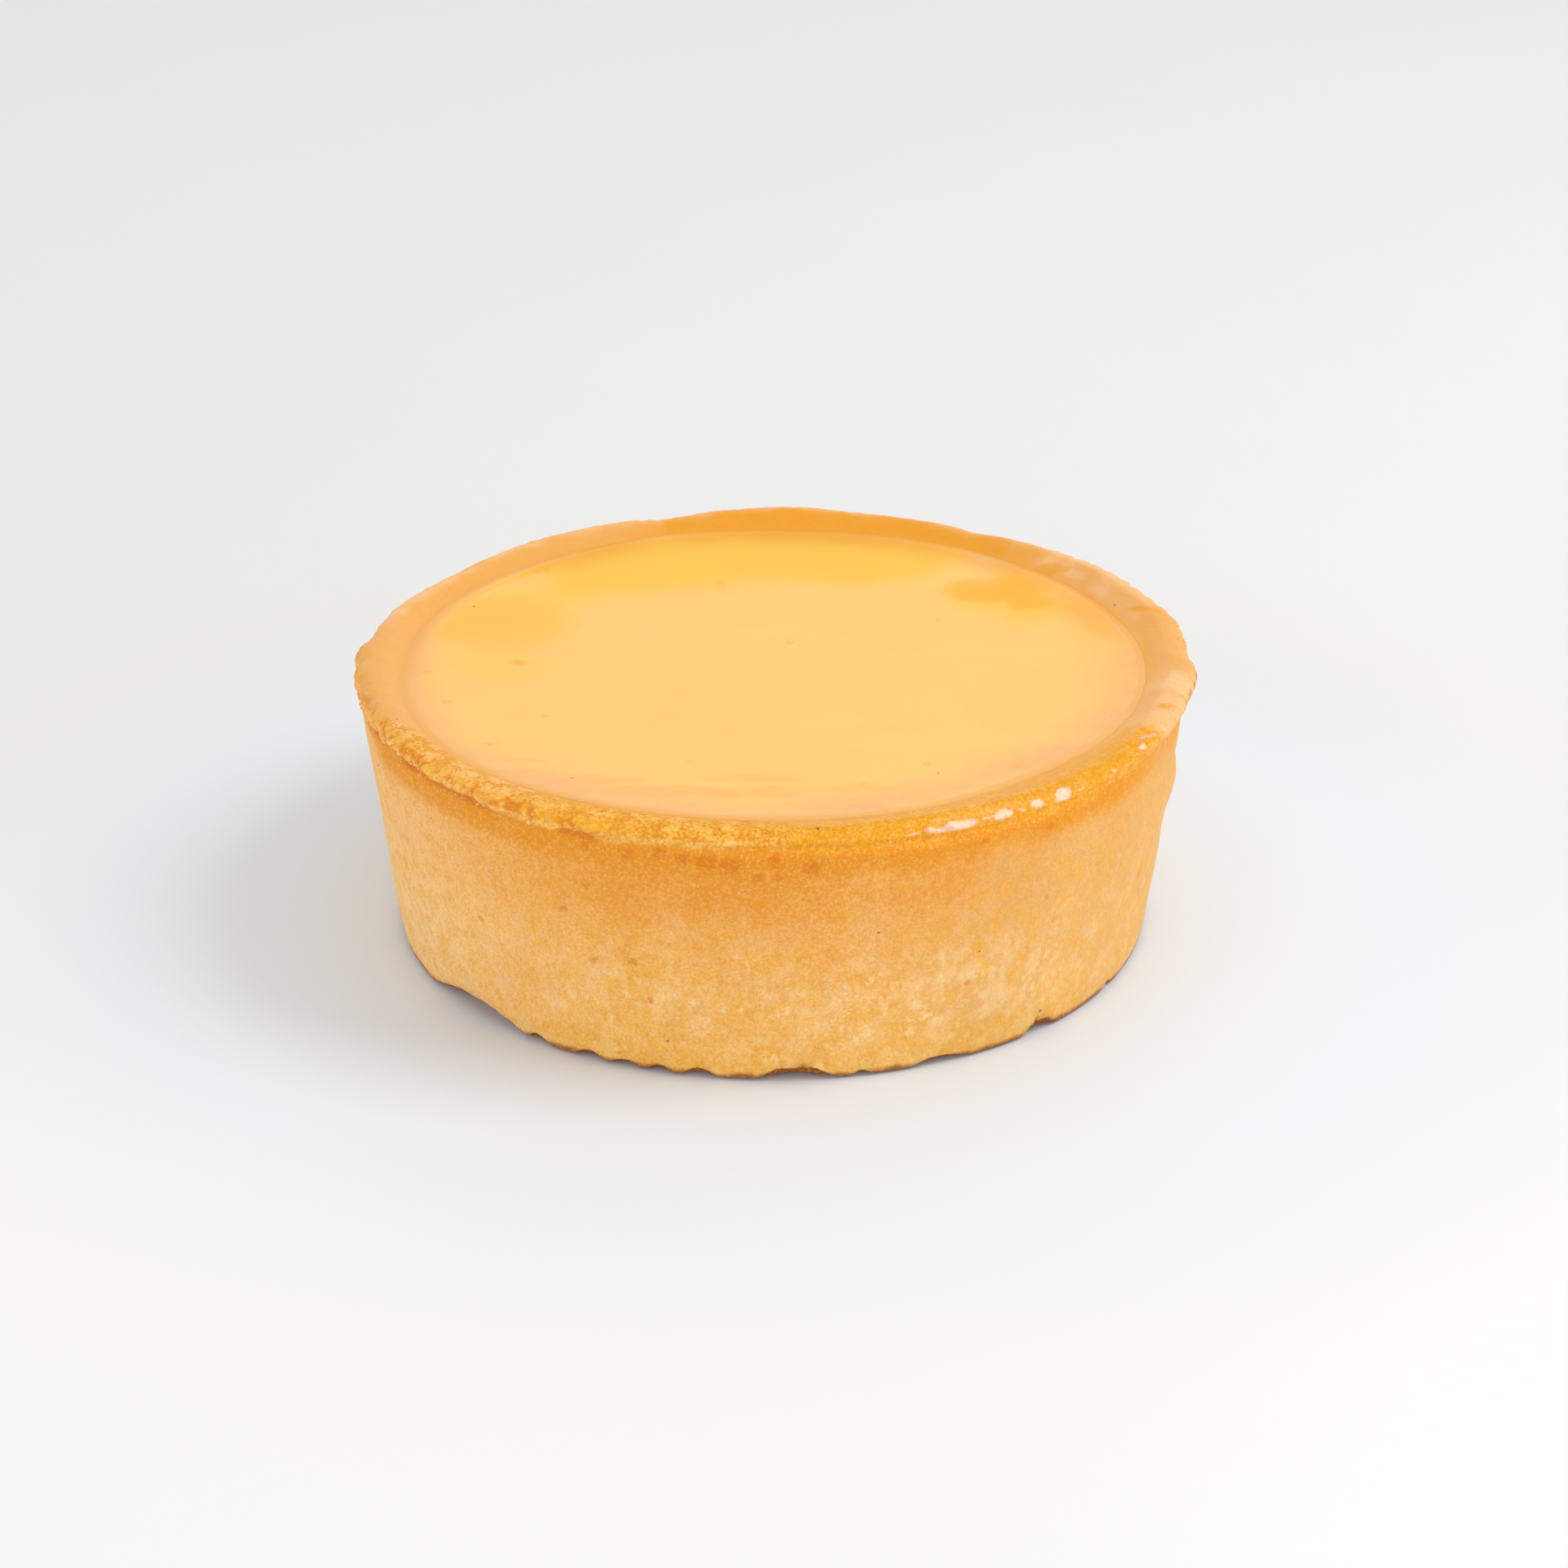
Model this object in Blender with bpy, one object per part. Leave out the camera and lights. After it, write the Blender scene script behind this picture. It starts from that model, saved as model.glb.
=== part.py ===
"""A small round lemon tart: a baked shortcrust case, filled to just under its rim with lemon filling.

Metres, +Z up. The origin is the middle of the underside, and -Y is the front.
Angles are degrees round the tart: 0 at +X, 90 at the back, 270 at the front.
"""
import bpy
import bmesh
from functools import partial
from math import atan2, cos, degrees, pi, radians, sin
from mathutils import Vector, noise

MM = 0.001

# Driving dimensions of the case
CASE_HEIGHT = 28.2 * MM        # crest of the rim above the underside
BASE_RADIUS = 39.3 * MM        # foot of the wall
WALL_FLARE = 0.122             # how much the wall widens for each unit of height
LIP_RADIUS = 42.3 * MM         # edge of the rim, which stands proud of the wall
LIP_EDGE = 26.6 * MM           # height at which the rim is widest
CREST_RADIUS = 40.6 * MM       # highest line of the rim
FOOT_ROUNDING = 0.9 * MM       # where the wall turns under
FLOOR_THICKNESS = 3.4 * MM
LIP_UNDERSIDE = 25.6 * MM      # height at which the wall meets the lip
LIP_STEP = 0.5 * MM            # height above and below it over which the overhang sets in
INNER_UNDERSIDE = BASE_RADIUS - 2.8 * MM  # within it the underside is flat and even

# Driving dimensions of the filling, whose hollow sits a little off the middle
FILLING_LEVEL = 27.0 * MM
FILLING_RADIUS = 37.5 * MM     # at its surface
HOLLOW_TAPER = 0.13            # how much the hollow narrows for each unit of depth
HOLLOW_CENTRE = (-0.2 * MM, 0.0)
SAG = 0.7 * MM                 # the set filling has sunk in the middle
SAG_POWER = 2.4                # above 2 the sunk middle is flatter and its edge steeper
GAP = 0.3 * MM                 # kept between the filling and the pastry

# Facets
SEGMENTS = 200
WALL_STEPS = 7
SHOULDER_STEPS = 5             # from the rim's edge up to its crest
SLOPE_SHARES = (0.25, 0.5, 0.75)  # rings between the crest and the filling's edge
SHARP_ANGLE = radians(50)

# Unevenness of the rim: (angle, half width in degrees, size)
LIP_SWELLS = (
    (229, 30, 1.0 * MM),       # ragged overhang at the left front
    (178.5, 3, 0.8 * MM),      # broken tooth at the left end
    (186, 3, 0.4 * MM),
    (356, 9, 0.6 * MM),        # lump at the right end
    (13, 13, 0.9 * MM),
    (285, 46, -0.4 * MM),      # worn round at the front
    (148, 24, -0.5 * MM),
    (87, 22, 0.3 * MM),
)
CREST_SWELLS = (
    (88, 16, 0.3 * MM),
    (107, 7, -0.4 * MM),
    (146, 20, -0.1 * MM),
    (58, 6, -0.3 * MM),
    (28, 18, 0.7 * MM),
    (44, 12, 0.2 * MM),
    (4, 14, -0.4 * MM),
    (163, 10, 0.2 * MM),
    (200, 16, -0.2 * MM),
    (262, 86, -0.8 * MM),      # lower along the front
    (318, 30, -0.5 * MM),
)
# How much higher the lip's edge and underside lie than their mean
LIP_LIFTS = (
    (184, 24, -0.7 * MM),
    (222, 26, 0.5 * MM),
    (297, 26, -0.3 * MM),
    (334, 24, 0.5 * MM),
)
HOLLOW_SWELLS = (
    (314, 26, -0.6 * MM),      # the rim is thickest at the right front
    (222, 34, 0.6 * MM),       # and thinnest at the left front
    (178, 18, -0.4 * MM),
)
SCALLOPS = (28, 30, 0.16 * MM)  # fine fluting on the right of the rim
SCALLOP_PITCH = 3.3            # degrees
CRUMBLE = (214, 52, 0.5 * MM)  # crumbly edge round the left
CRUMBLE_ELSEWHERE = 0.12 * MM
CRUMB_SIZE = 1.6 * MM
WALL_WAVE = 0.22 * MM
WALL_WAVE_SIZE = 9.0 * MM

# Unevenness of the wall: (angle, half width in degrees, size)
WALL_SWELLS = (
    (2, 60, -0.8 * MM),        # flatter on the right
    (184, 40, -0.25 * MM),
    (120, 36, 0.2 * MM),
)
# Lumps of the wall: (angle, height, half width in degrees, half height, size)
WALL_LUMPS = (
    (358, 15.5 * MM, 12, 4 * MM, 0.9 * MM),
    (75, 9 * MM, 14, 6 * MM, -0.3 * MM),
    (132, 15 * MM, 10, 5 * MM, 0.3 * MM),
    (300, 8 * MM, 16, 6 * MM, 0.2 * MM),
)

# Unevenness of the foot: (angle, half width in degrees, height, depth)
FOOT_NOTCHES = (
    (221, 12, 0.8 * MM, 1.4 * MM),   # lifted stretch at the left front
    (234, 2.4, 0.5 * MM, 0.5 * MM),
    (243, 2.6, 0.5 * MM, 0.5 * MM),
    (248.5, 2.2, 0.4 * MM, 0.4 * MM),
    (253.6, 2.0, 0.4 * MM, 0.4 * MM),
    (259.4, 2.6, 0.5 * MM, 0.5 * MM),
    (273, 5.2, 0.9 * MM, 0.8 * MM),  # the large broken-out piece at the front
    (282.3, 1.6, 0.3 * MM, 0.3 * MM),
    (294, 5.0, 0.4 * MM, 0.4 * MM),
    (311.4, 3.2, 0.8 * MM, 0.7 * MM),
)
HIDDEN_NOTCHES = 11            # round the back, from 325 to 560 degrees
HIDDEN_START = 325
HIDDEN_SPAN = 235
NOTCH_REACH = 2.6 * MM         # height up to which a notch dents the wall

PASTRY_COLOUR = (0.79, 0.42, 0.11)
FILLING_COLOUR = (0.96, 0.57, 0.12)


def smooth_step(low, high, value):
    """0 below low, 1 above high, and a smooth rise between them."""
    t = min(max((value - low) / (high - low), 0.0), 1.0)
    return t * t * (3 - 2 * t)


def swell(angle, centre, half_width):
    """A smooth hump of height 1 round the centre angle, and 0 outside its half width."""
    offset = (angle - centre + 180) % 360 - 180
    if abs(offset) >= half_width:
        return 0.0
    return 0.5 + 0.5 * cos(pi * offset / half_width)


def swells(angle, table):
    """The sum of a table of humps at an angle."""
    return sum(size * swell(angle, centre, half_width) for centre, half_width, size in table)


def grain(angle, height, size, radius=LIP_RADIUS):
    """Smooth noise from -1 to 1 over the tart's side, with lumps of about the size given."""
    a = radians(angle)
    return noise.noise(Vector((radius * cos(a), radius * sin(a), height)) / size)


def hidden_notches():
    """Notches of the foot round the back, spread evenly and made uneven by smooth noise."""
    found = []
    for i in range(HIDDEN_NOTCHES):
        jitter = noise.noise(Vector((i * 1.7 + 0.35, 4.2, 0.6)))
        angle = HIDDEN_START + HIDDEN_SPAN * (i + 0.5 + 0.6 * jitter) / HIDDEN_NOTCHES
        width = 2.6 + 1.4 * jitter
        found.append((angle, width, (0.5 + 0.3 * jitter) * MM, (0.5 + 0.3 * jitter) * MM))
    return tuple(found)


NOTCHES = FOOT_NOTCHES + hidden_notches()


def lip_offset(angle):
    """How far the rim's edge stands out from its mean circle."""
    centre, half_width, depth = CRUMBLE
    crumble = CRUMBLE_ELSEWHERE + depth * swell(angle, centre, half_width)
    edge = swells(angle, LIP_SWELLS) + crumble * grain(angle, 0.0, CRUMB_SIZE)
    centre, half_width, depth = SCALLOPS
    ripple = cos(2 * pi * angle / SCALLOP_PITCH)
    return edge + depth * ripple * swell(angle, centre, half_width)


def crest_offset(angle):
    """How far the rim's crest rises above its mean height."""
    return swells(angle, CREST_SWELLS) + 0.1 * MM * grain(angle, 3 * MM, 4 * MM)


def wall_offset(angle, height):
    """How far the wall stands out from its mean cone."""
    offset = swells(angle, WALL_SWELLS)
    for centre, level, half_width, half_height, size in WALL_LUMPS:
        rise = max(0.0, 1 - ((height - level) / half_height) ** 2)
        offset += size * swell(angle, centre, half_width) * rise * rise
    return offset


def wall_radius(height):
    """Mean outside radius of the wall at a height."""
    return BASE_RADIUS + WALL_FLARE * height


def hollow_radius(height):
    """Mean radius of the hollow for the filling at a height."""
    return FILLING_RADIUS + GAP - HOLLOW_TAPER * (FILLING_LEVEL - height)


def uneven_side(radius, height, angle):
    """Move a point of the case's outside by the rim's and the wall's unevenness."""
    lip = smooth_step(LIP_UNDERSIDE - LIP_STEP, LIP_UNDERSIDE + LIP_STEP, height)
    lip *= smooth_step(CREST_RADIUS - 1.5 * MM, LIP_RADIUS, radius)
    side = smooth_step(INNER_UNDERSIDE, BASE_RADIUS - FOOT_ROUNDING, radius) * (1 - lip)
    wave = smooth_step(0.0, 6 * MM, height) * WALL_WAVE * grain(angle, height, WALL_WAVE_SIZE)
    radius += lip * lip_offset(angle) + side * (wall_offset(angle, height) + wave)
    lifted = smooth_step(18 * MM, LIP_UNDERSIDE, height) * (1 - smooth_step(LIP_EDGE, CASE_HEIGHT, height))
    height += crest_offset(angle) * smooth_step(LIP_UNDERSIDE, CASE_HEIGHT, height)
    return radius, height + lifted * swells(angle, LIP_LIFTS)


def notched_foot(radius, height, angle):
    """Move a point of the case's outside by the notches broken out of its foot."""
    inward = smooth_step(INNER_UNDERSIDE, BASE_RADIUS - FOOT_ROUNDING, radius)
    edge = smooth_step(BASE_RADIUS - 2.2 * MM, BASE_RADIUS - 0.6 * MM, radius)
    foot = 1 - smooth_step(0.0, NOTCH_REACH, height)
    rise = 0.0
    for centre, half_width, notch_height, depth in NOTCHES:
        notch = foot * swell(angle, centre, half_width)
        radius -= depth * notch * inward
        rise = max(rise, notch_height * notch * edge)
    return radius, height + rise


def place_outside(radius, height, angle):
    """A point of the case's outside, from the mean section to the uneven real one."""
    radius, height = notched_foot(*uneven_side(radius, height, angle), angle)
    return radius * cos(radians(angle)), radius * sin(radians(angle)), height


def place_inside(radius, height, angle):
    """A point of the hollow, or of the filling in it, round the hollow's own middle."""
    radius += swells(angle, HOLLOW_SWELLS) * smooth_step(0.0, FILLING_LEVEL, height)
    x = HOLLOW_CENTRE[0] + radius * cos(radians(angle))
    y = HOLLOW_CENTRE[1] + radius * sin(radians(angle))
    return x, y, height


def shoulder(share):
    """A point of the rim's round shoulder, from its edge at share 0 to the crest at 1."""
    turn = share * pi / 2
    radius = CREST_RADIUS + (LIP_RADIUS - CREST_RADIUS) * cos(turn)
    return radius, LIP_EDGE + (CASE_HEIGHT - LIP_EDGE) * sin(turn)


def outside_section():
    """Mean section of the case from the middle of the underside up to the crest."""
    top = LIP_UNDERSIDE - LIP_STEP
    points = [(0.0, 0.0), (INNER_UNDERSIDE, 0.0), (BASE_RADIUS - FOOT_ROUNDING, 0.0)]
    points.append((BASE_RADIUS - 0.35 * FOOT_ROUNDING, 0.3 * FOOT_ROUNDING))
    for i in range(WALL_STEPS):
        height = FOOT_ROUNDING + (top - FOOT_ROUNDING) * i / (WALL_STEPS - 1)
        points.append((wall_radius(height), height))
    points.append((wall_radius(LIP_UNDERSIDE) - 0.1 * MM, LIP_UNDERSIDE))
    points.append((LIP_RADIUS - 0.1 * MM, LIP_UNDERSIDE + LIP_STEP))
    for i in range(SHOULDER_STEPS):
        points.append(shoulder(i / (SHOULDER_STEPS - 1)))
    return points


def inside_section():
    """Mean section of the hollow from the filling's edge down to the middle of the floor."""
    points = []
    for height in (FILLING_LEVEL, 0.72 * FILLING_LEVEL, 0.4 * FILLING_LEVEL, FLOOR_THICKNESS + 1.5 * MM):
        points.append((hollow_radius(height), height))
    points.append((hollow_radius(FLOOR_THICKNESS) - 1.3 * MM, FLOOR_THICKNESS))
    points.append((0.0, FLOOR_THICKNESS))
    return points


def rim_slope(share, angle):
    """A point of the rim's inner slope, from the crest at share 0 to the hollow's edge at 1."""
    crest = Vector(place_outside(CREST_RADIUS, CASE_HEIGHT, angle))
    edge = Vector(place_inside(hollow_radius(FILLING_LEVEL), FILLING_LEVEL, angle))
    point = crest.lerp(edge, share)
    point.z = crest.z + (edge.z - crest.z) * smooth_step(0, 1, share)
    return point


def filling_section():
    """Mean section of the filling from the middle of its underside up and over to its top's middle."""
    bottom = FLOOR_THICKNESS + GAP
    points = [(0.0, bottom), (hollow_radius(bottom) - GAP - 1.5 * MM, bottom)]
    for height in (FLOOR_THICKNESS + 1.8 * MM, 0.4 * FILLING_LEVEL, 0.72 * FILLING_LEVEL):
        points.append((hollow_radius(height) - GAP, height))
    points.append((FILLING_RADIUS, FILLING_LEVEL))
    for share in (0.96, 0.85, 0.6, 0.3, 0.0):
        points.append((share * FILLING_RADIUS, FILLING_LEVEL - SAG * (1 - share ** SAG_POWER)))
    return points


def spin_rings(section, placers):
    """A bmesh solid turned from a section that starts and ends on the axis, then made uneven.

    Each point of the section has a placer, which gives its real place at an angle."""
    bm = bmesh.new()
    ring = bm.verts.layers.int.new("ring")
    verts = [bm.verts.new((radius, 0.0, height)) for radius, height in section]
    for index, vertex in enumerate(verts):
        vertex[ring] = index
    edges = [bm.edges.new(pair) for pair in zip(verts, verts[1:])]
    bmesh.ops.spin(bm, geom=verts + edges, axis=(0, 0, 1), cent=(0, 0, 0), angle=2 * pi,
                   steps=SEGMENTS, use_merge=True)
    bmesh.ops.remove_doubles(bm, verts=bm.verts, dist=0.001 * MM)
    for vertex in bm.verts:
        angle = degrees(atan2(vertex.co.y, vertex.co.x)) % 360
        vertex.co = placers[vertex[ring]](angle=angle)
    return bm


def finish_object(name, bm, colour, roughness):
    """Make an object of a bmesh, facing outwards, smooth-shaded and in its own material."""
    bmesh.ops.triangulate(bm, faces=bm.faces)
    bmesh.ops.recalc_face_normals(bm, faces=bm.faces)
    mesh = bpy.data.meshes.new(name)
    bm.to_mesh(mesh)
    bm.free()
    mesh.shade_smooth()
    mesh.set_sharp_from_angle(angle=SHARP_ANGLE)
    material = bpy.data.materials.new(name)
    material.use_nodes = True
    shader = material.node_tree.nodes["Principled BSDF"]
    shader.inputs["Base Color"].default_value = (*colour, 1.0)
    shader.inputs["Roughness"].default_value = roughness
    shader.inputs["Metallic"].default_value = 0.0
    mesh.materials.append(material)
    obj = bpy.data.objects.new(name, mesh)
    bpy.context.scene.collection.objects.link(obj)
    return obj


def pastry_case():
    """The shortcrust case: tapered wall, notched foot, overhanging crumbly lip and sloping rim."""
    outside = outside_section()
    inside = inside_section()
    crest, edge = Vector(outside[-1]), Vector(inside[0])
    slope = [tuple(crest.lerp(edge, share)) for share in SLOPE_SHARES]
    placers = [partial(place_outside, radius, height) for radius, height in outside]
    placers += [partial(rim_slope, share) for share in SLOPE_SHARES]
    placers += [partial(place_inside, radius, height) for radius, height in inside]
    bm = spin_rings(outside + slope + inside, placers)
    return finish_object("pastry_case", bm, PASTRY_COLOUR, 0.75)


def lemon_filling():
    """The set lemon filling, a plug that fills the hollow up to just under the rim."""
    section = filling_section()
    bm = spin_rings(section, [partial(place_inside, radius, height) for radius, height in section])
    return finish_object("lemon_filling", bm, FILLING_COLOUR, 0.2)


def centre_on_origin(objects):
    """Move every mesh alike, so that the middle of the case's box stands over the origin."""
    corners = [vertex.co for vertex in objects[0].data.vertices]
    shift = [-(max(c[i] for c in corners) + min(c[i] for c in corners)) / 2 for i in range(2)]
    for obj in objects:
        for vertex in obj.data.vertices:
            vertex.co.x += shift[0]
            vertex.co.y += shift[1]


def main():
    for obj in list(bpy.data.objects):
        bpy.data.objects.remove(obj, do_unlink=True)
    centre_on_origin([pastry_case(), lemon_filling()])


main()
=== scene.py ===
"""A small round lemon tart: crumbly shortcrust case, set lemon filling, glaze, crumbs and a plain stage.

Metres, +Z up. The origin is the middle of the underside, and -Y is the front.
Angles are degrees round the tart: 0 at +X, 90 at the back, 270 at the front.
"""
from functools import partial
from math import acos, atan2, cos, degrees, hypot, pi, radians, sin
from random import Random

import bmesh
import bpy
from mathutils import Matrix, Vector, noise


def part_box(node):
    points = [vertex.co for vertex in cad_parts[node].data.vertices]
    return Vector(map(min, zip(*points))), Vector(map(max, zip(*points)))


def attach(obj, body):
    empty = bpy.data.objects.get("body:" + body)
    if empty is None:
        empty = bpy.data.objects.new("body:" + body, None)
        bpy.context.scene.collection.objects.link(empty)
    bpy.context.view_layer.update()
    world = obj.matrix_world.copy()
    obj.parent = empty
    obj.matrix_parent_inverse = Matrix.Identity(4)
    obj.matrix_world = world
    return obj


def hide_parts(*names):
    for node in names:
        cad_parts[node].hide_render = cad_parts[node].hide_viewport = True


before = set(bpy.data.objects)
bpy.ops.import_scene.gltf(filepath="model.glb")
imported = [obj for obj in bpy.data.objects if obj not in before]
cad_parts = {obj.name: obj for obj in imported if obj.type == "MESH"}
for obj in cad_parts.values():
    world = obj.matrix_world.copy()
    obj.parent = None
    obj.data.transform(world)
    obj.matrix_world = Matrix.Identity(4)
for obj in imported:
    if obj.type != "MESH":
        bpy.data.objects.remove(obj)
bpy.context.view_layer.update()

bl_info = {
    "name": "Lemon tart",
    "version": (1, 0, 0),
    "blender": (4, 5, 0),
    "location": "3D View > Sidebar > Lemon tart",
    "description": "Builds a single-serving lemon tart and a plain stage for it",
    "category": "Add Mesh",
}

MM = 0.001

# The soft box: where it stands in degrees, its distance and its size
KEY_AZIMUTH = 350
KEY_ELEVATION = 51
KEY_DISTANCE = 0.9
KEY_SIZE = 0.42
CEILING_START = 46             # elevation in degrees where the bright ceiling begins
CEILING_FULL = 58
FLOOR_RADIUS = 1.6

# ---------------------------------------------------------------- form of the solids

CASE_HEIGHT = 28.2 * MM
BASE_RADIUS = 39.3 * MM
WALL_FLARE = 0.122
LIP_RADIUS = 42.3 * MM
LIP_EDGE = 26.6 * MM
CREST_RADIUS = 40.6 * MM
FOOT_ROUNDING = 0.9 * MM
FLOOR_THICKNESS = 3.4 * MM
LIP_UNDERSIDE = 25.6 * MM
LIP_STEP = 0.5 * MM
LIFT_START = 18 * MM           # the wall follows the lip's rises and dips from this height
INNER_UNDERSIDE = BASE_RADIUS - 2.8 * MM
FILLING_LEVEL = 27.0 * MM
FILLING_RADIUS = 37.5 * MM
HOLLOW_TAPER = 0.13
HOLLOW_CENTRE = (-0.2 * MM, 0.0)
SAG = 0.7 * MM
SAG_POWER = 2.4
GAP = 0.3 * MM

# Unevenness of the solids: angle, half width in degrees, and size in millimetres
LIP_SWELLS = (
    (229, 30, 1.0), (178.5, 3, 0.8), (186, 3, 0.4), (356, 9, 0.6), (13, 13, 0.9), (285, 46, -0.4),
    (148, 24, -0.5), (87, 22, 0.3),
)
CREST_SWELLS = (
    (88, 16, 0.3), (107, 7, -0.4), (146, 20, -0.1), (58, 6, -0.3), (28, 18, 0.7), (44, 12, 0.2),
    (4, 14, -0.4), (163, 10, 0.2), (200, 16, -0.2), (262, 86, -0.8), (318, 30, -0.5),
)
LIP_LIFTS = ((184, 24, -0.7), (222, 26, 0.5), (297, 26, -0.3), (334, 24, 0.5))
HOLLOW_SWELLS = ((314, 26, -0.6), (222, 34, 0.6), (178, 18, -0.4))
WALL_SWELLS = ((2, 60, -0.8), (184, 40, -0.25), (120, 36, 0.2))
SCALLOPS = (28, 30, 0.16 * MM)
SCALLOP_PITCH = 3.3
CRUMBLE = (214, 52, 0.5 * MM)
CRUMBLE_ELSEWHERE = 0.12 * MM
CRUMB_SIZE = 1.6 * MM
WALL_WAVE = 0.22 * MM
WALL_WAVE_SIZE = 9.0 * MM
# Lumps of the wall: angle, height, half width in degrees, half height and size, in millimetres
WALL_LUMPS = (
    (358, 15.5, 12, 4, 0.9), (75, 9, 14, 6, -0.3), (132, 15, 10, 5, 0.3), (300, 8, 16, 6, 0.2),
)
# Notches of the foot: angle, half width in degrees, height and depth in millimetres
FOOT_NOTCHES = (
    (221, 12, 0.8, 1.4), (234, 2.4, 0.5, 0.5), (243, 2.6, 0.5, 0.5), (248.5, 2.2, 0.4, 0.4),
    (253.6, 2.0, 0.4, 0.4), (259.4, 2.6, 0.5, 0.5), (273, 5.2, 0.9, 0.8), (282.3, 1.6, 0.3, 0.3),
    (294, 5.0, 0.4, 0.4), (311.4, 3.2, 0.8, 0.7),
)
HIDDEN_NOTCHES = 11
HIDDEN_START = 325
HIDDEN_SPAN = 235
NOTCH_REACH = 2.6 * MM

WALL_FOOT = 1.4 * MM           # the wall's rows are close below this height
WALL_TUCK = 21.6 * MM          # and above this one, where it turns in under the lip

# Fine mesh of the case and the filling
COARSE_STEPS = 220             # steps of the turned section
FINE_CUTS = 4                  # cuts of each step afterwards
FOOT_ROWS = 5
WALL_FOOT_ROWS = 12
WALL_ROWS = 21
TUCK_ROWS = 11
LIP_ROWS = 8
SHOULDER_ROWS = 13
SLOPE_ROWS = 8
FILLING_STEPS = 240
FILLING_ROWS = 72


def smooth_step(low, high, value):
    """0 below low, 1 above high, and a smooth rise between them."""
    t = min(max((value - low) / (high - low), 0.0), 1.0)
    return t * t * (3 - 2 * t)


def beyond(edge, low, high, value):
    """0 to 1 as a value passes an edge: from low to high, in millimetres off it."""
    return smooth_step(edge + low * MM, edge + high * MM, value)


def within(edge, low, high, value):
    """1 to 0 as a value passes an edge: from low to high, in millimetres off it."""
    return 1 - beyond(edge, low, high, value)


def swell(angle, centre, half_width):
    """A smooth hump of height 1 round the centre angle, and 0 outside its half width."""
    offset = (angle - centre + 180) % 360 - 180
    if abs(offset) >= half_width:
        return 0.0
    return 0.5 + 0.5 * cos(pi * offset / half_width)


def swells(angle, table):
    """The sum of a table of humps at an angle, in metres."""
    return sum(size * MM * swell(angle, centre, half_width) for centre, half_width, size in table)


def stretch(angle, start, end, fade):
    """1 between two angles, counted anticlockwise, fading to 0 over a number of degrees outside."""
    half = (end - start) / 2
    offset = abs((angle - start - half + 180) % 360 - 180)
    return 1 - smooth_step(half, half + fade, offset)


def grain(angle, height, size, radius=LIP_RADIUS):
    """Smooth noise from -1 to 1 over the tart's side, with lumps of about the size given."""
    a = radians(angle)
    return noise.noise(Vector((radius * cos(a), radius * sin(a), height)) / size)


def bumps(point, size):
    """Smooth noise from -1 to 1 whose lumps are about a size in millimetres."""
    return noise.noise(point / (size * MM))


def direction(azimuth, elevation):
    """A unit vector towards an azimuth and an elevation in degrees."""
    a, e = radians(azimuth), radians(elevation)
    return Vector((cos(e) * cos(a), cos(e) * sin(a), sin(e)))


def hidden_notches():
    """Notches of the foot round the back, spread evenly and made uneven by smooth noise."""
    found = []
    for i in range(HIDDEN_NOTCHES):
        jitter = noise.noise(Vector((i * 1.7 + 0.35, 4.2, 0.6)))
        angle = HIDDEN_START + HIDDEN_SPAN * (i + 0.5 + 0.6 * jitter) / HIDDEN_NOTCHES
        found.append((angle, 2.6 + 1.4 * jitter, 0.5 + 0.3 * jitter, 0.5 + 0.3 * jitter))
    return tuple(found)


NOTCHES = tuple((angle, half_width, height * MM, depth * MM)
                for angle, half_width, height, depth in FOOT_NOTCHES + hidden_notches())


def lip_offset(angle):
    """How far the rim's edge stands out from its mean circle."""
    centre, half_width, depth = CRUMBLE
    crumble = CRUMBLE_ELSEWHERE + depth * swell(angle, centre, half_width)
    edge = swells(angle, LIP_SWELLS) + crumble * grain(angle, 0.0, CRUMB_SIZE)
    centre, half_width, depth = SCALLOPS
    ripple = cos(2 * pi * angle / SCALLOP_PITCH)
    return edge + depth * ripple * swell(angle, centre, half_width)


def crest_offset(angle):
    """How far the rim's crest rises above its mean height."""
    return swells(angle, CREST_SWELLS) + 0.1 * MM * grain(angle, 3 * MM, 4 * MM)


def wall_offset(angle, height):
    """How far the wall stands out from its mean cone."""
    offset = swells(angle, WALL_SWELLS)
    for centre, level, half_width, half_height, size in WALL_LUMPS:
        rise = max(0.0, 1 - ((height - level * MM) / (half_height * MM)) ** 2)
        offset += size * MM * swell(angle, centre, half_width) * rise * rise
    return offset


def wall_radius(height):
    """Mean outside radius of the wall at a height."""
    return BASE_RADIUS + WALL_FLARE * height


def hollow_radius(height):
    """Mean radius of the hollow for the filling at a height."""
    return FILLING_RADIUS + GAP - HOLLOW_TAPER * (FILLING_LEVEL - height)


def uneven_side(radius, height, angle):
    """Move a point of the case's outside by the rim's and the wall's unevenness."""
    lip = smooth_step(LIP_UNDERSIDE - LIP_STEP, LIP_UNDERSIDE + LIP_STEP, height)
    lip *= smooth_step(CREST_RADIUS - 1.5 * MM, LIP_RADIUS, radius)
    side = smooth_step(INNER_UNDERSIDE, BASE_RADIUS - FOOT_ROUNDING, radius) * (1 - lip)
    wave = beyond(0, 0, 6, height) * WALL_WAVE * grain(angle, height, WALL_WAVE_SIZE)
    radius += lip * lip_offset(angle) + side * (wall_offset(angle, height) + wave)
    lifted = smooth_step(LIFT_START, LIP_UNDERSIDE, height)
    lifted *= 1 - smooth_step(LIP_EDGE, CASE_HEIGHT, height)
    height += crest_offset(angle) * smooth_step(LIP_UNDERSIDE, CASE_HEIGHT, height)
    return radius, height + lifted * swells(angle, LIP_LIFTS)


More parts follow.
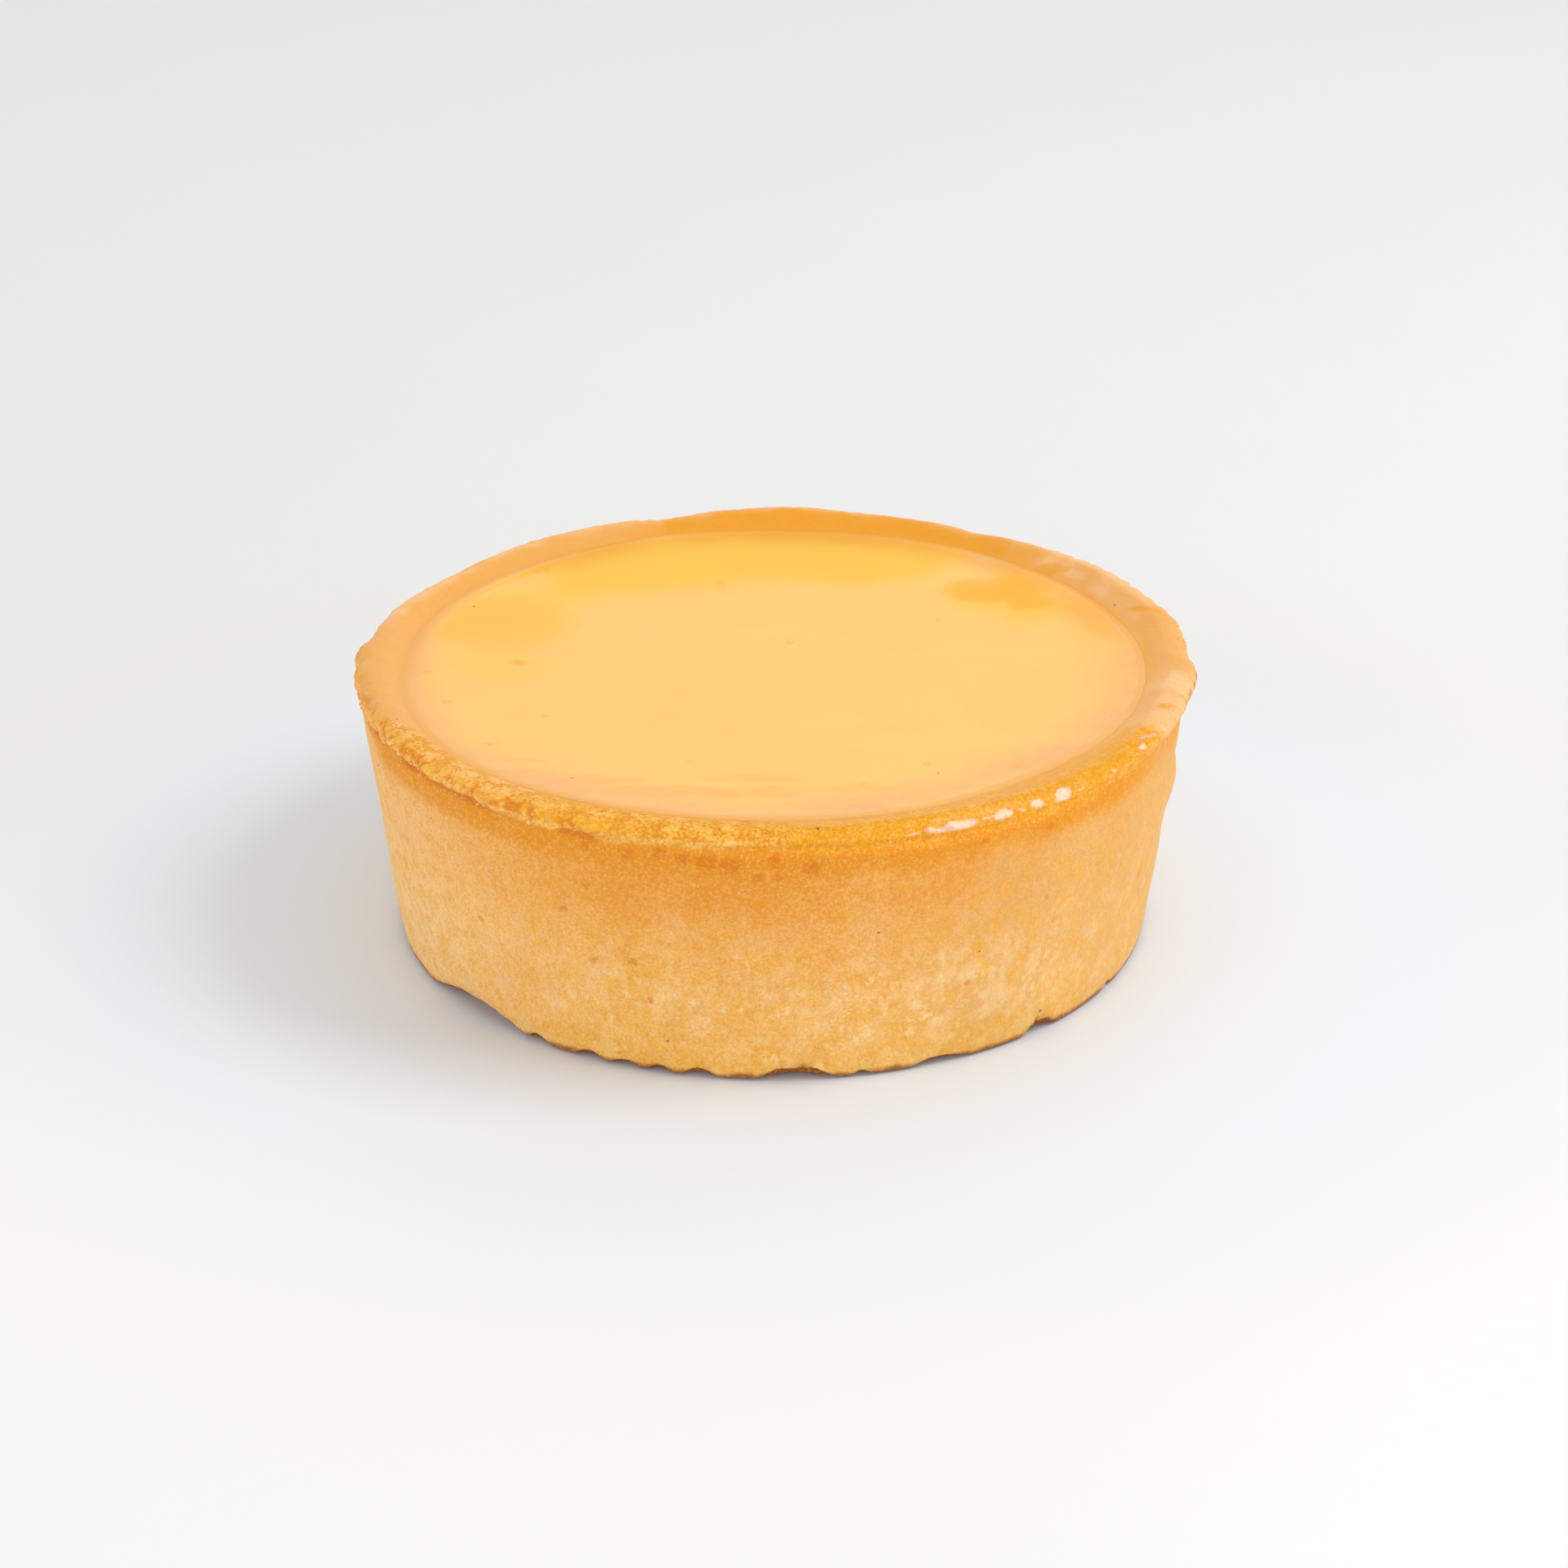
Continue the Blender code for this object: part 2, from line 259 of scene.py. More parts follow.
def flaked(angle, height):
    """How far inside a flake broken out of the foot: crisp along its ragged upper edge."""
    ragged = 0.12 * grain(angle, 0.0, 1.1 * MM) + 0.06 * grain(angle, 0.0, 0.5 * MM)
    level = max(2.0 * notch_height * swell(angle, centre, 1.2 * half_width) ** 0.6
                for centre, half_width, notch_height, _ in NOTCHES)
    level = min(level, 1.35 * MM) + ragged * MM
    return within(level, -0.06, 0.08, height) * beyond(0, 0.1, 0.25, level)


def notched_foot(radius, height, angle):
    """Move a point of the case's outside by the flakes broken out of its foot."""
    inward = smooth_step(INNER_UNDERSIDE, BASE_RADIUS - FOOT_ROUNDING, radius)
    edge = beyond(BASE_RADIUS, -2.2, -0.6, radius)
    foot = 1 - smooth_step(0.0, NOTCH_REACH, height)
    rise = 0.0
    for centre, half_width, notch_height, depth in NOTCHES:
        lifted = smooth_step(4, 10, half_width)
        notch = foot * swell(angle, centre, half_width)
        radius -= (0.3 + 0.7 * lifted) * depth * notch * inward
        rise = max(rise, (0.25 + 0.75 * lifted) * notch_height * notch * edge)
    return radius - 0.5 * MM * flaked(angle, height) * inward, height + rise


def place_outside(radius, height, angle):
    """A point of the case's outside, from the mean section to the uneven real one."""
    radius, height = notched_foot(*uneven_side(radius, height, angle), angle)
    return radius * cos(radians(angle)), radius * sin(radians(angle)), height


def place_inside(radius, height, angle):
    """A point of the hollow, or of the filling in it, round the hollow's own middle."""
    radius += swells(angle, HOLLOW_SWELLS) * smooth_step(0.0, FILLING_LEVEL, height)
    x = HOLLOW_CENTRE[0] + radius * cos(radians(angle))
    y = HOLLOW_CENTRE[1] + radius * sin(radians(angle))
    return x, y, height


def shoulder(share):
    """A point of the rim's round shoulder, from its edge at share 0 to the crest at 1."""
    turn = share * pi / 2
    radius = CREST_RADIUS + (LIP_RADIUS - CREST_RADIUS) * cos(turn)
    return radius, LIP_EDGE + (CASE_HEIGHT - LIP_EDGE) * sin(turn)


def rim_slope(share, angle):
    """A point of the rim's inner slope, from the crest at share 0 to the hollow's edge at 1."""
    crest = Vector(place_outside(CREST_RADIUS, CASE_HEIGHT, angle))
    edge = Vector(place_inside(hollow_radius(FILLING_LEVEL), FILLING_LEVEL, angle))
    point = crest.lerp(edge, share)
    straight = 0.6 * stretch(angle, -25, 48, 12)
    fall = share * straight + smooth_step(0, 1, share) * (1 - straight)
    point.z = crest.z + (edge.z - crest.z) * fall
    return point


def frame_shift():
    """How far the frame stands off these functions' own middle, read from the filling's solid."""
    low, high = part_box("lemon_filling")
    points = [place_inside(FILLING_RADIUS, FILLING_LEVEL, angle) for angle in range(360)]
    middle = [(min(p[i] for p in points) + max(p[i] for p in points)) / 2 for i in range(2)]
    return Vector(((low.x + high.x) / 2 - middle[0], (low.y + high.y) / 2 - middle[1], 0.0))


def lerp_points(corners, rows):
    """Points along a line through corners, evenly spread over its length, without the last one."""
    lengths = [hypot(b[0] - a[0], b[1] - a[1]) for a, b in zip(corners, corners[1:])]
    total = sum(lengths)
    points = []
    for i in range(rows):
        rest = total * i / rows
        for a, b, length in zip(corners, corners[1:], lengths):
            if rest <= length:
                break
            rest -= length
        t = rest / length
        points.append((a[0] + (b[0] - a[0]) * t, a[1] + (b[1] - a[1]) * t))
    return points


def spin_rings(section, placers, steps, cuts=0):
    """A closed bmesh turned from a section that starts and ends on the axis, then made uneven.

    Each point of the section has a placer, which gives its real place at an angle. The layer
    ring keeps each vertex's place along the section."""
    bm = bmesh.new()
    ring = bm.verts.layers.int.new("ring")
    verts = [bm.verts.new((radius, 0.0, height)) for radius, height in section]
    for index, vertex in enumerate(verts):
        vertex[ring] = index
    edges = [bm.edges.new(pair) for pair in zip(verts, verts[1:])]
    bmesh.ops.spin(bm, geom=verts + edges, axis=(0, 0, 1), cent=(0, 0, 0), angle=2 * pi,
                   steps=steps, use_merge=True)
    bmesh.ops.remove_doubles(bm, verts=bm.verts, dist=0.001 * MM)
    if cuts:
        round_edges = [e for e in bm.edges if e.verts[0][ring] == e.verts[1][ring]]
        bmesh.ops.subdivide_edges(bm, edges=round_edges, cuts=cuts, use_grid_fill=True)
    shift = frame_shift()
    for vertex in bm.verts:
        angle = degrees(atan2(vertex.co.y, vertex.co.x)) % 360
        vertex.co = Vector(placers[vertex[ring]](angle=angle)) + shift
    bmesh.ops.recalc_face_normals(bm, faces=bm.faces)
    bm.normal_update()
    return bm


def keep_inside(bm, node):
    """Hold every vertex within the box of the solid that the piece stands for."""
    low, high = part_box(node)
    for vertex in bm.verts:
        for axis in range(3):
            vertex.co[axis] = min(max(vertex.co[axis], low[axis]), high[axis])


def add_object(name, data):
    """A new object in the scene."""
    thing = bpy.data.objects.new(name, data)
    bpy.context.scene.collection.objects.link(thing)
    return thing


def make_piece(name, bm, material, replaced=None):
    """Turn a bmesh into a smooth-shaded piece that rides with the tart."""
    bmesh.ops.recalc_face_normals(bm, faces=bm.faces)
    mesh = bpy.data.meshes.new(name)
    bm.to_mesh(mesh)
    bm.free()
    mesh.shade_smooth()
    mesh.materials.append(material)
    piece = add_object(name, mesh)
    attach(piece, "root")
    if replaced:
        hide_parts(replaced)
    return piece


# ---------------------------------------------------------------- zones of the case
# Radius and height here are those of the mean section, before it is made uneven. Each zone is a
# function of angle, radius and height, so that ZONES can list them.

def topped(angle, radius, height):
    """How far a point is on top of the lip, above its underside and edge."""
    return smooth_step(LIP_UNDERSIDE + 0.1 * MM, LIP_EDGE + 0.1 * MM, height)


def torn(angle, radius, height):
    """How torn and crumbly the pastry is: the outer edge of the lip round the left front."""
    around = stretch(angle, 174, 246, 12)
    radius -= 0.5 * MM * grain(angle, height, 1.9 * MM)
    edge = beyond(LIP_RADIUS, -1.05, -0.55, radius)
    return around * edge * beyond(LIP_UNDERSIDE, -0.2, 0.3, height)


def tucked(angle, radius, height):
    """How deep in the shade of the overhanging lip: a thin broken line under the left front."""
    line = LIP_UNDERSIDE + (0.05 + 0.2 * grain(angle, 0.0, 3 * MM)) * MM
    near = within(0, 0.2, 0.75, abs(height - line))
    broken = 0.6 * smooth_step(-0.35, 0.15, grain(angle, 5 * MM, 4.5 * MM))
    deep = max(stretch(angle, 214, 229, 5), 0.9 * stretch(angle, 243, 246, 2))
    return near * max(deep, broken * stretch(angle, 198, 229, 6))


def wet(angle, radius, height):
    """How wet the rim is with syrup: the right front, in a band with a ragged edge."""
    ragged = grain(angle, height, 2.2 * MM)
    around = stretch(angle + 3 * ragged, 274, 331, 6)
    patch = smooth_step(0.0, 0.3, grain(angle, height + 9 * MM, 2.6 * MM))
    patch *= stretch(angle, 236, 272, 6)
    lower = LIP_UNDERSIDE + (0.1 + 0.4 * ragged) * MM
    tall = beyond(lower, -0.3, 0.3, height)
    inner = beyond(FILLING_RADIUS, 0.8, 1.8, radius + 0.6 * ragged * MM)
    return max(around, 0.45 * patch) * tall * inner


def filmed(angle, radius, height):
    """How far a thin skin of filling covers the rim: its inner slope, and its top but for the front."""
    top = beyond(FILLING_LEVEL, -2, -0.5, height)
    bare = stretch(angle, 214, 300, 16)
    ragged = (0.8 - 0.5 * bare) * grain(angle, 0.0, 3 * MM)
    reach = FILLING_RADIUS + (4.5 - 3.5 * bare + ragged) * MM
    return top * within(reach, -0.5, 0.4, radius)


# Deep orange streaks of glaze on the rim, most of them at the right: x and y, half length and half
# width in millimetres, turn in degrees and strength
RIM_STREAKS = (
    (29.8, 24.6, 2.6, 0.9, -30, 0.7), (38.9, 11.2, 2.7, 0.5, -35, 0.8), (40.3, 10.2, 0.9, 0.5, -30, 0.9),
    (38.0, 1.0, 2.6, 0.6, 80, 0.55), (37.9, -4.2, 1.9, 0.5, 94, 0.5), (38.6, -13.7, 0.9, 0.45, 40, 0.9),
    (40.9, -10.4, 0.6, 0.3, 40, 0.9), (42.0, -2.1, 0.5, 0.35, 80, 0.8), (34.8, -22.1, 2.3, 0.7, 55, 0.9),
    (-25.5, 32.2, 3.0, 0.5, 40, 0.5), (-33.0, 24.0, 2.4, 0.5, 55, 0.4),
)
STREAK_REACH = 5               # no streak colours a point farther off than this, in millimetres


def streaked(angle, radius):
    """How deep in one of the rim's streaks of glaze, which have ragged outlines."""
    a = radians(angle)
    x, y = radius * cos(a) / MM, radius * sin(a) / MM
    if not any(hypot(x - row[0], y - row[1]) < STREAK_REACH for row in RIM_STREAKS):
        return 0.0
    x += 0.5 * noise.noise(Vector((x, y, 1.3)) / 0.9)
    y += 0.5 * noise.noise(Vector((x, y, 7.3)) / 0.9)
    best = 0.0
    for at_x, at_y, half_long, half_wide, turn, strength in RIM_STREAKS:
        t = radians(turn)
        along = ((x - at_x) * cos(t) + (y - at_y) * sin(t)) / half_long
        across = ((y - at_y) * cos(t) - (x - at_x) * sin(t)) / half_wide
        best = max(best, strength * (1 - smooth_step(0.6, 1.15, hypot(along, across))))
    return best


def glazed(angle, radius, height):
    """How deep the glaze on the rim is: all over its inside at the back, and in streaks elsewhere."""
    ragged = grain(angle, height, 3.5 * MM)
    turned = angle + 4 * ragged
    back = max(stretch(turned, 53, 107, 4), 0.55 * stretch(turned, 44, 112, 3))
    streaks = smooth_step(0.15, 0.4, noise.noise(Vector((angle / 7.0, radius / (0.9 * MM), 3.3))))
    streaks *= stretch(angle, -8, 70, 8)
    inner = within(CREST_RADIUS, -1.0, 1.2, radius + ragged * MM)
    top = beyond(FILLING_LEVEL, -1, 0, height)
    return top * max(back * inner, 0.35 * streaks, streaked(angle, radius))


def seam(angle, radius, height):
    """How near the filling's edge on the rim's slope: wider at the right, faint at the right front."""
    wide = 0.8 * MM * stretch(angle, 325, 350, 12)
    near = 1 - smooth_step(FILLING_RADIUS + 0.3 * MM + wide, FILLING_RADIUS + 1.6 * MM + wide, radius)
    near *= 1 - 0.6 * stretch(angle, 285, 352, 10)
    return near * beyond(FILLING_LEVEL, -2, -0.5, height)


def broken_out(angle, radius, height):
    """How brown: the foot's thin line and the base behind its notches, baked brown with painted shade of
    the foot and its recesses, and the lip's singed edge.
    """
    ragged = 0.3 * grain(angle, 0.0, 2.2 * MM) + 0.15 * grain(angle, 0.0, 0.7 * MM)
    # The foot's line and its notches: baked brown, and partly painted contact shade
    line = within(0, 0.4, 1.05, height + ragged * MM)
    brown = max(0.92 * line, flaked(angle, height)) * beyond(INNER_UNDERSIDE, -1, 0, radius)
    singed = within(0, 0.2, 0.7, abs(height - LIP_EDGE - 0.1 * MM))
    singed *= max(0.7 * stretch(angle, 346, 356, 2), 0.45 * stretch(angle, 14, 34, 4))
    singed *= beyond(LIP_RADIUS, -0.6, -0.1, radius)
    return max(brown, singed * smooth_step(-0.15, 0.25, grain(angle, 0.0, 0.9 * MM)))


def golden(angle, radius, height):
    """How deep a gold: the rim round the front, the line under it and, faintly, the wall's foot."""
    front = max(stretch(angle, 240, 288, 14), 0.6 * swell(angle, 222, 24), stretch(angle, 300, 328, 6))
    inner = beyond(FILLING_RADIUS, -0.4, 2.2, radius)
    under = max(front, stretch(angle, 204, 300, 10))
    top = front * (0.5 + 0.5 * inner) * smooth_step(LIP_UNDERSIDE - 0.4 * MM, LIP_EDGE, height)
    below = beyond(0, 22.5, 25.0, height) * within(0, 26.2, 26.8, height)
    low = 0.5 * stretch(angle, 240, 312, 14) * within(0, 1.5, 6.0, height)
    return max(top, 0.9 * under * below, low)


def pinkish(angle, radius, height):
    """How pale and pinkish the rim is painted: a painted sheen on its outer half round the back, and
    painted light on all of it at the right, over the shaded slope.
    """
    ragged = 0.5 * MM * grain(angle, height, 1.8 * MM)
    outer = beyond(CREST_RADIUS, -1.2, -0.1, radius + ragged)
    back = outer * max(stretch(angle, 62, 165, 10), 1.2 * stretch(angle, 21, 47, 6),
                       1.2 * stretch(angle, 332, 350, 5))
    inner = beyond(FILLING_RADIUS, -0.2, 0.9, radius + ragged)
    right = inner * (1 - outer) * max(stretch(angle, 18, 43, 5), 0.7 * stretch(angle, 328, 352, 6))
    uneven = 0.75 + 0.5 * grain(angle, height, 2.4 * MM)
    return min(1.0, max(back, right) * uneven) * beyond(LIP_EDGE, -1, 0, height)


def slab(angle, radius, height):
    """How square the lip's edge is at the left front: most where its round shoulder would turn."""
    u = min(max((radius - CREST_RADIUS) / (LIP_RADIUS - CREST_RADIUS), 0.0), 1.0)
    v = min(max((height - LIP_EDGE) / (CASE_HEIGHT - LIP_EDGE), 0.0), 1.0)
    return 2 * u * v * stretch(angle, 180, 250, 14)


def lip_edge(angle, radius, height):
    """How near the edge of the torn lip, where fresh pale crumb shows: lower down at the front."""
    ragged = 0.5 * MM * grain(angle, 0.0, 1.4 * MM)
    middle = LIP_EDGE + (0.25 - 0.7 * stretch(angle, 231, 262, 3)) * MM
    near = within(0, 0.15, 0.7, abs(height + ragged - middle))
    near *= 0.55 + 0.45 * smooth_step(-0.2, 0.3, grain(angle, height, 2.2 * MM))
    return near * beyond(LIP_RADIUS, -0.7, -0.2, radius) * stretch(angle, 180, 262, 10)


# Small baked spots of the crust: angle, height and radius in millimetres
BAKED_SPOTS = (
    (251.1, 24.4, 0.8), (255.6, 25.1, 0.8), (258.6, 24.8, 0.9), (261.6, 24.6, 1.3), (264.6, 24.2, 1.4),
    (268.1, 23.0, 0.8), (270.3, 25.0, 0.8), (270.6, 23.1, 0.6), (274.8, 23.9, 1.0), (297.9, 24.8, 0.5),
    (308.0, 24.4, 0.6), (245.5, 24.6, 0.6),
)
# Small pits of the wall: angle, height and radius in millimetres
PITS = (
    (241.2, 17.0, 0.5), (244.9, 20.3, 0.5), (245.2, 11.9, 0.55), (251.0, 12.6, 0.55), (253.2, 8.4, 0.5),
    (226.0, 12.5, 0.4), (297.0, 9.0, 0.45), (309.0, 16.0, 0.35), (30.0, 12.0, 0.5), (58.0, 18.0, 0.45),
    (92.0, 8.0, 0.55), (121.0, 15.5, 0.5), (148.0, 20.0, 0.4), (167.0, 10.0, 0.5), (196.0, 16.0, 0.45),
)


def browned_and_lip_shade(angle, radius, height):
    """How dark the crust is: baked brown under the rim at the front, fading downwards, with two lines just
    under the lip that are partly painted shade of the lip.
    """
    under = beyond(0, 7, 24, height) * within(0, 25.8, 26.6, height)
    front = 0.28 + 0.68 * swell(angle, 266, 62)
    patches = 0.92 + 0.35 * grain(angle, height, 6 * MM)
    # Lines just under the lip: partly painted shade of the overhanging lip
    around = 0.4 * swell(angle, 262, 62) + 0.8 * stretch(angle, 206, 236, 10)
    around += 0.55 * stretch(angle, 310, 342, 8)
    line = around * within(0, 0.8, 3.2, abs(height - 24.9 * MM))
    line += 0.5 * stretch(angle, 240, 300, 12) * within(0, 0.4, 1.3, abs(height - 25.8 * MM))
    return max(0.0, min(1.0, (under * front + line) * patches))


def side_light_tone(angle, radius, height):
    """Painted side light on the wall: 0 at the left, painted paler, 0.5 in front and behind, 1 at the
    right, painted darker.
    """
    side = max(swell(angle, 345, 75), 0.8 * swell(angle, 305, 32)) - swell(angle, 195, 60)
    return 0.5 + 0.5 * side * within(0, 24.5, 26, height)


def floury(angle, radius, height):
    """How much paler, grainier flour shows: low on the wall, most of all right of the front."""
    low = 0.35 + 0.65 * within(0, 8, 21, height)
    return low * (0.35 + 0.65 * swell(angle, 276, 50)) * within(0, 24, 25.5, height)


ZONES = {
    "browned_and_lip_shade": browned_and_lip_shade, "rim": topped, "wet": wet, "torn": torn, "tucked": tucked, "filmed": filmed,
    "glazed": glazed, "seam": seam, "floury": floury, "notched": broken_out, "side_light_tone": side_light_tone,
    "slab": slab, "edge": lip_edge, "pink": pinkish, "golden": golden,
}
CASE_ZONES = (*ZONES, "glint", "hollow")


def pastry_relief(point, zone, share):
    """Fine relief of the crust along its normal, in metres, of which the flat foot gets a share."""
    dry = (1 - 0.9 * zone["wet"]) * (1 - 0.75 * zone["filmed"])
    lumps = 0.055 * noise.fractal(point / (3.2 * MM), 0.9, 2.0, 3)
    drag = 0.03 * bumps(Vector((point.x / 1.1, point.y / 1.1, point.z / 2.6)), 1)
    sandy = 0.045 * zone["rim"] * bumps(point, 0.55)
    granules = 0.022 * bumps(point, 0.8) * (1 - zone["rim"])
    cells = noise.voronoi(point / (1.05 * MM))[0]
    clumps = noise.voronoi(point / (2.9 * MM))[0]
    cracks = 1 - smooth_step(0.03, 0.2, clumps[1] - clumps[0] + 0.12 * bumps(point, 0.7))
    crumbs = 0.7 * (0.45 - cells[0]) + 0.3 * noise.fractal(point / (0.55 * MM), 0.7, 2.0, 3)
    syrup = 0.05 * bumps(point, 2.3) + 0.012 * bumps(point, 1.1)
    relief = lumps + dry * (drag + sandy + granules) + zone["wet"] * syrup
    relief += 0.09 * zone["pink"] * bumps(point, 0.6)
    relief += zone["torn"] * (0.19 * crumbs - 0.17 * cracks)
    relief = share * (1 - zone["seam"]) * (relief + 0.3 * zone["slab"])
    return (relief - 0.12 * zone["tucked"]) * MM


# ---------------------------------------------------------------- materials

def to_linear(code):
    """An sRGB hex colour as linear red, green, blue and full alpha."""
    channels = [int(code[i:i + 2], 16) / 255 for i in (1, 3, 5)]
    return [c / 12.92 if c <= 0.04045 else ((c + 0.055) / 1.055) ** 2.4 for c in channels] + [1.0]


def add_node(tree, kind, inputs=None, **settings):
    """Add a node, set its properties, and link or fill its inputs."""
    node = tree.nodes.new(kind)
    for name, value in settings.items():
        setattr(node, name, value)
    set_inputs(tree, node, inputs or {})
    return node


def new_material(name):
    """An empty node material with its Principled shader already joined to the output."""
    material = bpy.data.materials.new(name)
    material.use_nodes = True
    tree = material.node_tree
    return material, tree, tree.nodes["Principled BSDF"]


def set_inputs(tree, node, inputs):
    """Fill or link inputs of a node that is already there."""
    for name, value in inputs.items():
        if isinstance(value, bpy.types.NodeSocket):
            tree.links.new(value, node.inputs[name])
        else:
            node.inputs[name].default_value = value


def mix_colour(tree, factor, low, high, blend="MIX"):
    """Mix two colours, each a socket or an sRGB hex code, by a factor."""
    low, high = (to_linear(value) if isinstance(value, str) else value for value in (low, high))
    return add_node(tree, "ShaderNodeMix", {0: factor, 6: low, 7: high},
                    data_type="RGBA", blend_type=blend).outputs[2]


def lay_over(tree, colour, layers):
    """Mix layers over a colour in turn: each has a factor, a colour and, if not MIX, its blend."""
    for factor, tone, *blend in layers:
        colour = mix_colour(tree, factor, colour, tone, *blend)
    return colour


def math(tree, operation, *values, clamp=False):
    """A Math node on sockets or numbers."""
    return add_node(tree, "ShaderNodeMath", dict(enumerate(values)),
                    operation=operation, use_clamp=clamp).outputs[0]


def times(tree, first, second):
    """The product of two sockets or numbers."""
    return math(tree, "MULTIPLY", first, second)


def mix_number(tree, factor, low, high):
    """A number between two values."""
    return math(tree, "ADD", low, times(tree, factor, high - low))


def ramp(tree, value, low, high, out_low=0.0, out_high=1.0):
    """Map a value from one range to another, smoothly and within it."""
    node = add_node(tree, "ShaderNodeMapRange", {
        "Value": value, "From Min": low, "From Max": high, "To Min": out_low, "To Max": out_high},
        interpolation_type="SMOOTHSTEP")
    return node.outputs["Result"]


def noise_of_size(tree, coords, size, detail=2.0, roughness=0.5, squash=(1.0, 1.0, 1.0)):
    """Noise whose lumps are about a size in metres, stretched by squash."""
    place = add_node(tree, "ShaderNodeMapping", {"Vector": coords, "Scale": squash}).outputs[0]
    node = add_node(tree, "ShaderNodeTexNoise", {
        "Vector": place, "Scale": 1 / size, "Detail": detail, "Roughness": roughness})
    return node.outputs["Fac"]


def patches(tree, coords, size, span, strength=(0.0, 1.0), detail=2.0, roughness=0.5,
            squash=(1.0, 1.0, 1.0)):
    """Soft patches of a size in millimetres: noise from a span of its values to one of strength."""
    return ramp(tree, noise_of_size(tree, coords, size * MM, detail, roughness, squash), *span, *strength)


def bent(tree, coords, scale, reach):
    """Coordinates moved about by noise, by up to a reach in metres, for ragged outlines."""
    wobble = add_node(tree, "ShaderNodeTexNoise", {"Vector": coords, "Scale": scale, "Detail": 3.0})
    moved = add_node(tree, "ShaderNodeVectorMath", {
        0: wobble.outputs["Color"], 1: (reach,) * 3}, operation="MULTIPLY").outputs[0]
    return add_node(tree, "ShaderNodeVectorMath", {0: coords, 1: moved}, operation="ADD").outputs[0]


def flecks_of_size(tree, coords, size, strength):
    """Uneven soft-edged flecks of a size in metres, in a third of the cells of a scattered pattern."""
    place = bent(tree, coords, 1.6 / size, 1.5 * size)
    cells = add_node(tree, "ShaderNodeTexVoronoi", {"Vector": place, "Scale": 1 / size}).outputs
    chosen = add_node(tree, "ShaderNodeSeparateColor", {"Color": cells["Color"]}).outputs["Red"]
    soft = ramp(tree, cells["Distance"], 0.1, 0.65, strength, 0.0)
    return times(tree, ramp(tree, chosen, 0.55, 0.8), soft)


def spots(tree, coords, table):
    """1 within the nearest of a table of ragged round spots on the wall, and 0 outside."""
    place = bent(tree, coords, 1 / (0.6 * MM), 1.3 * MM)
    middle = Vector((0.65 * MM,) * 3) + frame_shift()
    nearest = 9.0
    for angle, height, size in table:
        height *= MM
        centre = Vector(place_outside(wall_radius(height), height, angle)) + middle
        away = add_node(tree, "ShaderNodeVectorMath", {0: place, 1: centre}, operation="DISTANCE")
        nearest = math(tree, "MINIMUM", nearest, math(tree, "DIVIDE", away.outputs["Value"], size * MM))
    return ramp(tree, nearest, 0.35, 1.15, 1.0, 0.0)


def attribute(tree, name):
    """A number stored on the piece's vertices."""
    return add_node(tree, "ShaderNodeAttribute", attribute_name=name).outputs["Fac"]


